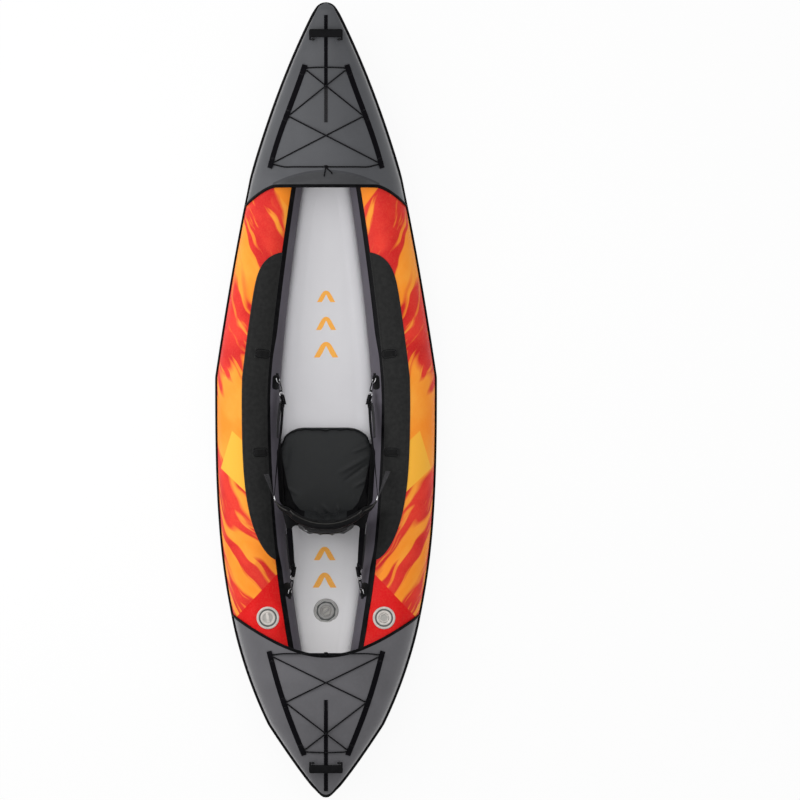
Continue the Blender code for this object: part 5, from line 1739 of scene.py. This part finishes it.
def stuff(item, voxel, limit, pressure=4.0, lowest=None):
    """Swell a fabric case round its filling, then smooth it once."""
    take(item)
    item.data.remesh_voxel_size = voxel
    bpy.ops.object.voxel_remesh()
    spots = coordinates(item.data)
    cloth = item.modifiers.new("stuffing", "CLOTH")
    cloth.settings.quality = 5
    cloth.settings.use_pressure = True
    cloth.settings.uniform_pressure_force = pressure
    cloth.settings.effector_weights.gravity = 0
    for step in range(1, 21):
        bpy.context.scene.frame_set(step)
    ready = item.evaluated_get(bpy.context.evaluated_depsgraph_get())
    moved = coordinates(ready.data) - spots
    item.modifiers.remove(cloth)
    bpy.context.scene.frame_set(1)
    reach = np.linalg.norm(moved, axis=1, keepdims=True)
    spots = spots + moved * np.minimum(1.0, limit / np.maximum(reach, 1e-9))
    if lowest is not None:
        spots[:, 2] = np.maximum(spots[:, 2], lowest)
    return apply_modifier(put_back(item, spots), "SUBSURF", levels=1, render_levels=1)


def crease(item, folds, axes):
    """Press folds into a case: each has two ends on a pair of axes, a width and a height."""
    spots = coordinates(item.data)
    normals = coordinates(item.data, "normal")
    flat = spots[:, axes]
    for a, b, width, height in folds:
        start, run = np.array(a), np.subtract(b, a)
        part = np.clip(((flat - start) @ run) / (run @ run), 0, 1)
        away = np.linalg.norm(flat - start - part[:, None] * run, axis=1)
        fade = np.sin(np.pi * (0.12 + 0.80 * part))
        spots += normals * (height * fade * np.exp(-(away / width) ** 2))[:, None]
    return put_back(item, spots)


def back_place(across, up, depth):
    """A point of the curved backrest, at a height over its hinge and a depth behind its face."""
    bent = min(1.0, max(0.15, up / 0.12))
    across = max(-0.24, min(0.24, across))
    forward = (BACK_RADIUS - math.sqrt(BACK_RADIUS ** 2 - across ** 2)) * bent
    lean = 0.008 * up / BACK_HEIGHT
    return Vector((across, BACK_HINGE.y - 0.0015 - lean + forward - depth, BACK_HINGE.z + up))


def back_half_width(t):
    top = 1 - 0.30 * max(0.0, t - 0.62) ** 1.3
    return BACK_HALF_WIDTH * (0.84 + 0.16 * min(1.0, t * 2.2)) * top


def rear_line(x):
    """The rear edge of the cushion, which follows the backrest's curve."""
    arc = BACK_RADIUS - math.sqrt(BACK_RADIUS ** 2 - (x * 0.97) ** 2)
    return SEAT_REAR - 0.011 + arc * 0.92


def seat_outline(u, v):
    """The cushion seen from above: round front corners and a rear that fits the backrest."""
    x = u * (half_gap(mix(-0.43, -0.16, (v + 1) / 2)) + 0.0030)
    corner = max(0.0, abs(u) - 0.45) / 0.55
    front = SEAT_FRONT - 0.003 - 0.100 * (1 - math.sqrt(1 - corner * corner))
    return x, mix(rear_line(x), front, (v + 1) / 2)


def seat_cushion():
    low = floor_top(SEAT_MIDDLE) + 0.0008
    swell, draw = ((0.006, 0.0075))

    def place(u, v, w):
        x, y = seat_outline(u, v)
        edge = max(abs(u), abs(v))
        crown = 0.046 + 0.015 * (1 - edge ** 2.4) - swell
        belly = 1 - 0.05 * (1 - w * w) * (edge > 0.9)
        return Vector(((x + u * draw * 1.7) * belly, y + v * draw, low + crown * (w + 1) / 2))

    item = stuff(shaped("seat_cushion", place, 14), 0.0052, 0.008, lowest=low)
    crease(item, SEAT_FOLDS, [0, 1])
    finish(item, NYLON, replaces=["seat_base"], angle=180)
    item.data.materials.append(NYLON_DARK_AND_SHADE)
    # Painted shade: the darker copy goes on the borders beyond the top panel and on faces that turn
    # away from the top.
    for face in item.data.polygons:
        x, y, _ = face.center
        face.material_index = int(abs(x) > panel_half_width(y) or face.normal.z < 0.2)
    tree = surface_of(item)
    for side in (-1, 1):
        line = [tree.ray_cast(Vector((side * panel_half_width(y), y, 0.4)), -UP)[0]
                for y in spread(*PANEL_SEAM, 64)]
        line = even([point for point in line if point], 0.004)
        finish(swept(side_name(side) + "_panel_seam", line, circle(0.0020, 10), cap=0.001),
               TAPE_BLACK)
    return item


def panel_half_width(y):
    """Half the width of the cushion's top panel, between its borders of painted shade."""
    return float(np.interp(y, *zip(*PANEL_EDGE)))


def side_flap(side):
    """The flap sewn to the cushion's side that leans on the inner wall."""
    rows = []
    for part in spread(0.0, 1.0, 40):
        y = mix(*FLAP_ENDS, part)
        rise = math.sqrt(max(0.0, 1 - (1 - min(part / 0.16, (1 - part) / 0.12, 1.0)) ** 2))
        top = mix(190.0, FLAP_TOP_ANGLE, rise)
        pucker = 0.0007 * ripple(y, 7.0 * side)
        rows.append([chamber(side, y, angle, GAP + SKIN + 0.0012 + pucker * (200 - angle) / 40)
                     for angle in spread(199.0, top, 14)])
    flap = thicken(surface(side_name(side) + "_seat_flap", rows, out=(-side, 0, 0.2)), 0.0022)
    finish(flap, NYLON_DARK_AND_SHADE, slot="seat_fabric")


def back_apron(cushion):
    """The fabric that joins the cushion's rear edge to the foot of the backrest."""
    tree = surface_of(cushion)
    rows = []
    for across in spread(-0.134, 0.134, 50):
        head = back_place(across, 0.016, 0.012)
        foot = tree.find_nearest(Vector((across, rear_line(across) + 0.012, 0.2)))[0]
        foot.z -= 0.0006
        row = []
        for part in spread(0.0, 1.0, 14):
            slack = 0.0045 * math.sin(math.pi * part) * (1 + 0.25 * ripple(across, 3.0))
            row.append(mix(foot, head, part) + Vector((0, slack, 0)))
        rows.append(row)
    apron = thicken(surface("back_apron", rows, out=(0, 1, 0)), 0.0016)
    finish(apron, NYLON, slot="seat_fabric")
    # Painted shade: the apron's sides beyond the top panel take the darker copy.
    apron.data.materials.append(NYLON_DARK_AND_SHADE)
    for face in apron.data.polygons:
        face.material_index = int(abs(face.center.x) > panel_half_width(PANEL_SEAM[1]))
    bendable(apron, (0, -0.486, 0.110))


def cushion_piping(name, item, height, radius):
    """Piping round the cushion, laid on its surface at one height."""
    tree = surface_of(item)
    centre = Vector((0, SEAT_MIDDLE, height))
    line = []
    for turn in spread(0, 2 * math.pi, 160):
        c, s = math.cos(turn), math.sin(turn)
        reach = 1 / max(abs(c), abs(s))
        way = (Vector((*seat_outline(c * reach, s * reach), height)) - centre).normalized()
        hit = tree.ray_cast(centre + way * 0.5, -way)[0]
        line.append(hit - way * radius * 0.25)
    return finish(swept(name, even(line, 0.004)[:-1], circle(radius, 10), ring=True), TAPE_BLACK)


def back_spot(u, v, grow):
    """Across and up on the backrest, for a point of a square of 2 by 2."""
    t = (v * math.sqrt(1 - 0.16 * u * u) + 1) / 2
    across = u * math.sqrt(1 - 0.12 * v * v) * (back_half_width(t) + grow)
    return across, BACK_FOOT + t * BACK_RISE


def backrest_outline(pad, depth):
    """The edge of the stuffed backrest at a depth behind its face."""
    tree = surface_of(pad)
    middle = BACK_FOOT + BACK_RISE / 2
    line = []
    for turn in spread(0, 2 * math.pi, 120):
        across, up = back_spot(curved(math.cos(turn), 0.5), curved(math.sin(turn), 0.5), 0.002)
        far, near = (back_place(across * share, mix(middle, up, share), depth)
                     for share in (1.15, 0.80))
        line.append(tree.ray_cast(far, near - far)[0] or tree.find_nearest(far)[0])
    return even(line, 0.005)[:-1]


def backrest_pad():
    """The curved backrest with its sewn border and cross channels."""
    swell = 0.004

    def place(u, v, w):
        thick = (BACK_THICKNESS - swell) * (1 - 0.30 * max(abs(u), abs(v)) ** 6)
        return back_place(*back_spot(u, v, 0.002 - swell), BACK_THICKNESS / 2 - w * thick / 2)

    item = stuff(shaped("backrest_pad", place, 12), 0.0052, 0.005, 3.0)
    spots = coordinates(item.data)
    up = (spots[:, 2] - BACK_HINGE.z - BACK_FOOT) / BACK_RISE
    across = np.abs(spots[:, 0]) / BACK_HALF_WIDTH
    border = (across ** 4 + np.abs(2 * up - 1) ** 4) ** 0.25
    depth = 0.0042 * np.exp(-((border - 0.84) / 0.026) ** 2)
    for height in (0.34, 0.66):
        depth += (border < 0.84) * 0.0036 * np.exp(-((up - height) / 0.020) ** 2)
    facing = coordinates(item.data, "normal")[:, 1]
    spots[:, 1] += depth * ((facing < -0.35) * 0.5 - (facing > 0.35))
    put_back(item, spots)
    crease(item, BACK_FOLDS, [0, 2])
    finish(item, NYLON_DARK_AND_SHADE, "backrest", slot="seat_fabric", replaces=["seat_back"], angle=180)
    # The front piping is paler than the rear: a painted highlight.
    for label, depth, material in (("front", 0.0050, EDGE_TAPE_PAINTED_HIGHLIGHT),
                                   ("rear", BACK_THICKNESS - 0.0050, TAPE_BLACK)):
        line = backrest_outline(item, depth)
        finish(swept(f"backrest_{label}_piping", line, circle(0.0027, 10), ring=True), material,
               "backrest", slot="seat_fabric")


def back_wing(side):
    """The padded wing that carries the backrest's pull to its buckle."""
    name = side_name(side)
    ring = WING_RING * Vector((side, 1, 1))
    start = back_place(side * 0.118, 0.150, 0.014)
    middle = back_place(side * 0.158, 0.148, 0.013)
    tip = ring + Vector((side * -0.004, -0.0125, 0))
    bend = mix(middle, tip, 0.55) + Vector((side * 0.003, -0.004, 0))
    path = fair([start, middle, bend, tip], 10)
    rows, edges = [], []
    for k, point in enumerate(path):
        part = k / (len(path) - 1)
        ahead = run_at(path, k).normalized()
        across = ahead.cross(UP).normalized()
        tall = mix(0.062, 0.0135, smooth_step(0.25, 1.0, part))
        thick = mix(0.0150, 0.0030, smooth_step(0.35, 1.0, part))
        rows.append([point + across * a + UP * b for a, b in oval(thick, tall, 0.8, 0.7, 28)])
        edges.append((point + UP * tall, point - UP * tall))
    rows = [[path[0]] * 29, *rows, [path[-1]] * 29]
    wing = weld(surface(name + "_back_wing", rows))
    finish(wing, NYLON_DARK_AND_SHADE, "backrest", slot="seat_fabric", angle=70)
    # The upper tape is paler than the lower: a painted highlight.
    for label, pick, material in (("upper", 0, EDGE_TAPE_PAINTED_HIGHLIGHT), ("lower", 1, TAPE_BLACK)):
        trim = swept(f"{name}_wing_{label}_tape", [pair[pick] for pair in edges[6:]],
                     circle(0.0024, 10))
        finish(trim, material, "backrest", slot="seat_fabric")


def pouch():
    """The stowage pouch on the rear of the backrest, full at its foot, with a zip."""
    def place(u, v, w):
        t = (v * math.sqrt(1 - 0.18 * u * u) + 1) / 2
        across = u * math.sqrt(1 - 0.16 * v * v) * (0.123 - 0.018 * t)
        full = (0.0245 - 0.0095 * t) * (1 - 0.62 * max(abs(u), abs(v)) ** 5)
        sag = 0.004 * math.cos(3.1 * across / 0.12) * max(0.0, -v)
        depth = BACK_THICKNESS + 0.0012 + full * (w + 1) / 2
        return back_place(across, 0.038 + t * 0.158 - sag, depth)

    item = stuff(shaped("seat_bag", place, 10), 0.0048, 0.004, 2.0)
    crease(item, POUCH_FOLDS, [0, 2])
    finish(item, NYLON, "backrest", replaces=["seat_pouch"], angle=180)
    tree = surface_of(item)
    line = []
    for x in spread(-0.088, 0.088, 60):
        hit = tree.ray_cast(Vector((x, -0.70, 0.338)), Vector((0, 1, 0)))
        line.append(hit[0] + hit[1] * 0.0004)
    line = even(line, 0.0023)
    ups = [tree.find_nearest(point)[1] for point in line]
    finish(swept("bag_zip_tape", line, strip(0.020, 0.0008, 6), ups), WEBBING_BLACK, "backrest")
    tooth = block("tooth", (0.0014, 0.0046, 0.0012), Matrix(), 0.0003)
    places = []
    for k, spot in enumerate(frames_on(line, ups)):
        places.append(spot @ Matrix.Translation((0, (k % 2) * 0.0012 - 0.0006, 0.0009)))
    finish(scatter("bag_zip_teeth", tooth, places), BLACK_PLASTIC, "backrest", slot="piping")
    pull = block("bag_zip_slider", (0.009, 0.0075, 0.0036),
                 places[4] @ Matrix.Translation((0, 0, 0.0014)), 0.0012)
    tab = swept("tab", [places[4] @ Vector(p) for p in
                        ((-0.003, 0.001, 0.003), (-0.006, 0.006, 0.0036),
                         (-0.010, 0.016, 0.002), (-0.013, 0.026, 0.001))],
                strip(0.0055, 0.0014, 4), [places[4].to_3x3() @ UP] * 4)
    finish(join(pull, [tab]), ZINC, "backrest")


def widthwise(path, ways, straight=0):
    """Normals along a strap whose width turns from one direction to another."""
    ups = []
    for k in range(len(path)):
        ahead = run_at(path, k).normalized()
        twist = max(0.0, k - straight) / max(1, len(path) - 1 - straight)
        ups.append(mix(ways[0], ways[1], twist).cross(ahead).normalized())
    return ups


def strap_slide(name, place, ahead, across):
    """A three-bar slider on a strap."""
    at = frame_of(place, ahead, across, ahead.cross(across))
    line = closed([(-0.0085, -0.0150, 0), (0.0085, -0.0150, 0), (0.0085, 0.0150, 0),
                   (-0.0085, 0.0150, 0)], at, 0.002)
    slide = swept(name, line, circle(0.0018, 10), ring=True)
    bar = swept("bar", [at @ Vector((0, part * 0.015, 0)) for part in (-1, 0, 1)],
                circle(0.0016, 10))
    return join(slide, [bar])


def seat_strap(side, spot, anchor):
    """A strap from its snap hook to the backrest, with the turned end by its slider."""
    frame_ = hook_frame(anchor)
    name = f"{side_name(side)}_{spot}"
    turn = [frame_ @ Vector((x, 0, z)) for x, z in
            ((0.092, 0.0034), (0.074, 0.0040), (0.058, 0.0040), (0.0500, 0.0031),
             (0.0488, 0.0), (0.0500, -0.0031), (0.058, -0.0040), (0.074, -0.0022))]
    start = turn[-1]
    if spot == "front":
        end = Vector((side * 0.2145, -0.3972, 0.316))
        bends = [start, mix(start, end, 0.3) + Vector((side * -0.004, 0, -0.004)),
                 mix(start, end, 0.6), end]
        last_way = UP
    else:
        end = Vector((side * 0.1525, -0.5285, 0.345))
        bends = [start, mix(start, end, 0.35), mix(start, end, 0.70), end]
        last_way = Vector((side, 0, 0))
    first_way = anchor.col[1].to_3d()
    if first_way.dot(last_way) < 0:
        first_way = -first_way
    head = fair(turn, 5)
    path = [*head[:-1], *fair(bends, 14)]
    band = swept(name + "_seat_webbing", path, strip(0.0235, 0.0019, 8),
                 widthwise(path, (first_way, last_way), len(head)))
    low, high, bulge, shift, twist, width, thickness = STRAP_FOLDS[spot]
    line = []
    for part in spread(0.0, 1.0, 20):
        bow = math.sin(math.pi * part) * bulge
        line.append(mix(start, end, mix(low, high, part))
                    + Vector((side * (shift[0] + bow), shift[1], shift[2] + 0.4 * bow)))
    ways = (first_way, mix(first_way, last_way, twist))
    fold = swept(name + "_strap_fold", line, strip(width, thickness, 8), widthwise(line, ways))
    # The fold's paler webbing is a painted highlight.
    bendable(finish(fold, WEBBING_PAINTED_HIGHLIGHT, slot="webbing"), start)
    finish(band, WEBBING_BLACK, slot="webbing", replaces=[name + "_seat_strap"])
    bendable(band, start)
    ahead = (end - start).normalized()
    across = (first_way - ahead * first_way.dot(ahead)).normalized()
    place = mix(start, end, 0.04 if spot == "front" else 0.10)
    finish(strap_slide(name + "_strap_slide", place, ahead, across), BLACK_PLASTIC,
           slot="piping")
    bars = []
    for x in (0.060, 0.068, 0.076):
        bars += bar_of_stitches(frame_ @ Matrix.Translation((x, 0, 0.0050)), 0.016, 5)
    stitches(name + "_strap_stitches", bars)


def bendable(item, start):
    """Take a strap or the apron off its body again, with its mesh where it lies."""
    item.parent = None
    item.matrix_world = Matrix.Identity(4)
    tuple(start)
    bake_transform(item)


def loose_tail(side):
    """The free end of a front strap, past its buckle, leaning out over the pad."""
    start = WING_RING * Vector((side, 1, 1)) + Vector((side * 0.003, 0.002, 0.006))
    end = Vector((0.258, -0.296, 0.301)) if side > 0 else Vector((-0.247, -0.308, 0.301))
    path = fair([start, mix(start, end, 0.35) + Vector((0, 0, 0.026)),
                 mix(start, end, 0.7) + Vector((0, 0, 0.022)), end], 8)
    ways = (UP, (UP * 0.55 + Vector((side, -0.4, 0)) * 0.8).normalized())
    tail = swept(side_name(side) + "_loose_tail", path, strip(0.0220, 0.0019, 8),
                 widthwise(path, ways))
    # The tail's paler webbing is a painted highlight.
    finish(tail, WEBBING_PAINTED_HIGHLIGHT, "backrest", slot="webbing")
    bendable(tail, mix(start, end, 1.42))


def strap_root(side):
    """The padded gusset that leads a rear strap onto the back of the backrest."""
    tip = Vector((side * 0.1525, -0.5325, 0.345))
    foot = back_place(side * 0.143, 0.166, BACK_THICKNESS - 0.010)
    rows = []
    for part in spread(0.0, 1.0, 16):
        centre = mix(tip, foot, part)
        swell = smooth_step(0.0, 0.9, part)
        wide, thick = mix(0.0125, 0.035, swell), mix(0.0024, 0.017, swell)
        slant = 0.025 * side * swell
        rows.append([centre + Vector((wide * c, slant * c, thick * s)) for c, s in circle(1, 24)])
    rows = [[tip] * 25, *rows, [foot] * 25]
    root = weld(surface(side_name(side) + "_strap_gusset", rows))
    finish(root, NYLON_DARK_AND_SHADE, "backrest", slot="seat_fabric", angle=70)


def make_seat():
    cushion = seat_cushion()
    base = floor_top(SEAT_MIDDLE)
    cushion_piping("seat_top_piping", cushion, base + 0.045, 0.0030)
    cushion_piping("seat_low_piping", cushion, base + 0.0050, 0.0024)
    back_apron(cushion)
    backrest_pad()
    pouch()
    for side in (-1, 1):
        back_wing(side)
        strap_root(side)
        side_flap(side)
        loose_tail(side)
        for spot, y, way in STRAP_SPOTS:
            seat_strap(side, spot, strap_anchor(side, y, way))


# Stage

def make_stage():
    """White ground that shines evenly for the camera and still takes the hull's shadow."""
    bpy.ops.mesh.primitive_plane_add(size=40, location=(0, 0, FLOOR_DROP))
    ground = settle(added("studio_floor"))
    paper = Finish("studio_paper", "studio", 0.9, Base_Color=(0.90, 0.90, 0.90, 1))
    rays = paper.nodes.new("ShaderNodeLightPath").outputs
    seen = paper.sum("MAXIMUM", rays["Is Camera Ray"], rays["Is Glossy Ray"])
    seen = paper.sum("MAXIMUM", seen, rays["Is Transmission Ray"])
    glow = paper.node("Emission", {"Color": (1, 1, 1, 1)})
    mixed = paper.node("MixShader", {0: paper.sum("MULTIPLY", seen, 0.92),
                                     1: paper.shader.outputs[0], 2: glow})
    paper.links.new(mixed, paper.nodes["Material Output"].inputs["Surface"])
    ground.data.materials.append(paper.material)


def area_light(name, place, target, size, power):
    bpy.ops.object.light_add(type="AREA", location=place)
    lamp = bpy.context.object
    lamp.name = name
    lamp.data.shape = "RECTANGLE"
    lamp.data.size, lamp.data.size_y = size
    lamp.data.energy = power
    lamp.rotation_euler = (Vector(target) - Vector(place)).to_track_quat("-Z", "Y").to_euler()


def make_light():
    world = bpy.data.worlds.new("studio")
    world.use_nodes = True
    bpy.context.scene.world = world
    sky = world.node_tree.nodes["Background"]
    sky.inputs["Color"].default_value = (1, 1, 1, 1)
    sky.inputs["Strength"].default_value = 0.62
    for light in LIGHTS:
        area_light(*light)


def make_camera():
    camera = bpy.data.cameras.new("camera")
    camera.sensor_width = 36.0
    camera.lens = 36.0 * (CAMERA_HEIGHT - 0.2) / VIEW_WIDTH
    camera.clip_end = 400.0
    holder = bpy.data.objects.new("camera", camera)
    bpy.context.scene.collection.objects.link(holder)
    holder.location = (*VIEW_CENTRE, CAMERA_HEIGHT)
    bpy.context.scene.camera = holder


make_hull()
make_rigging()
make_fittings()
make_seat()
make_stage()
make_light()
make_camera()
bpy.context.scene.view_settings.view_transform = "Standard"
bpy.context.view_layer.update()
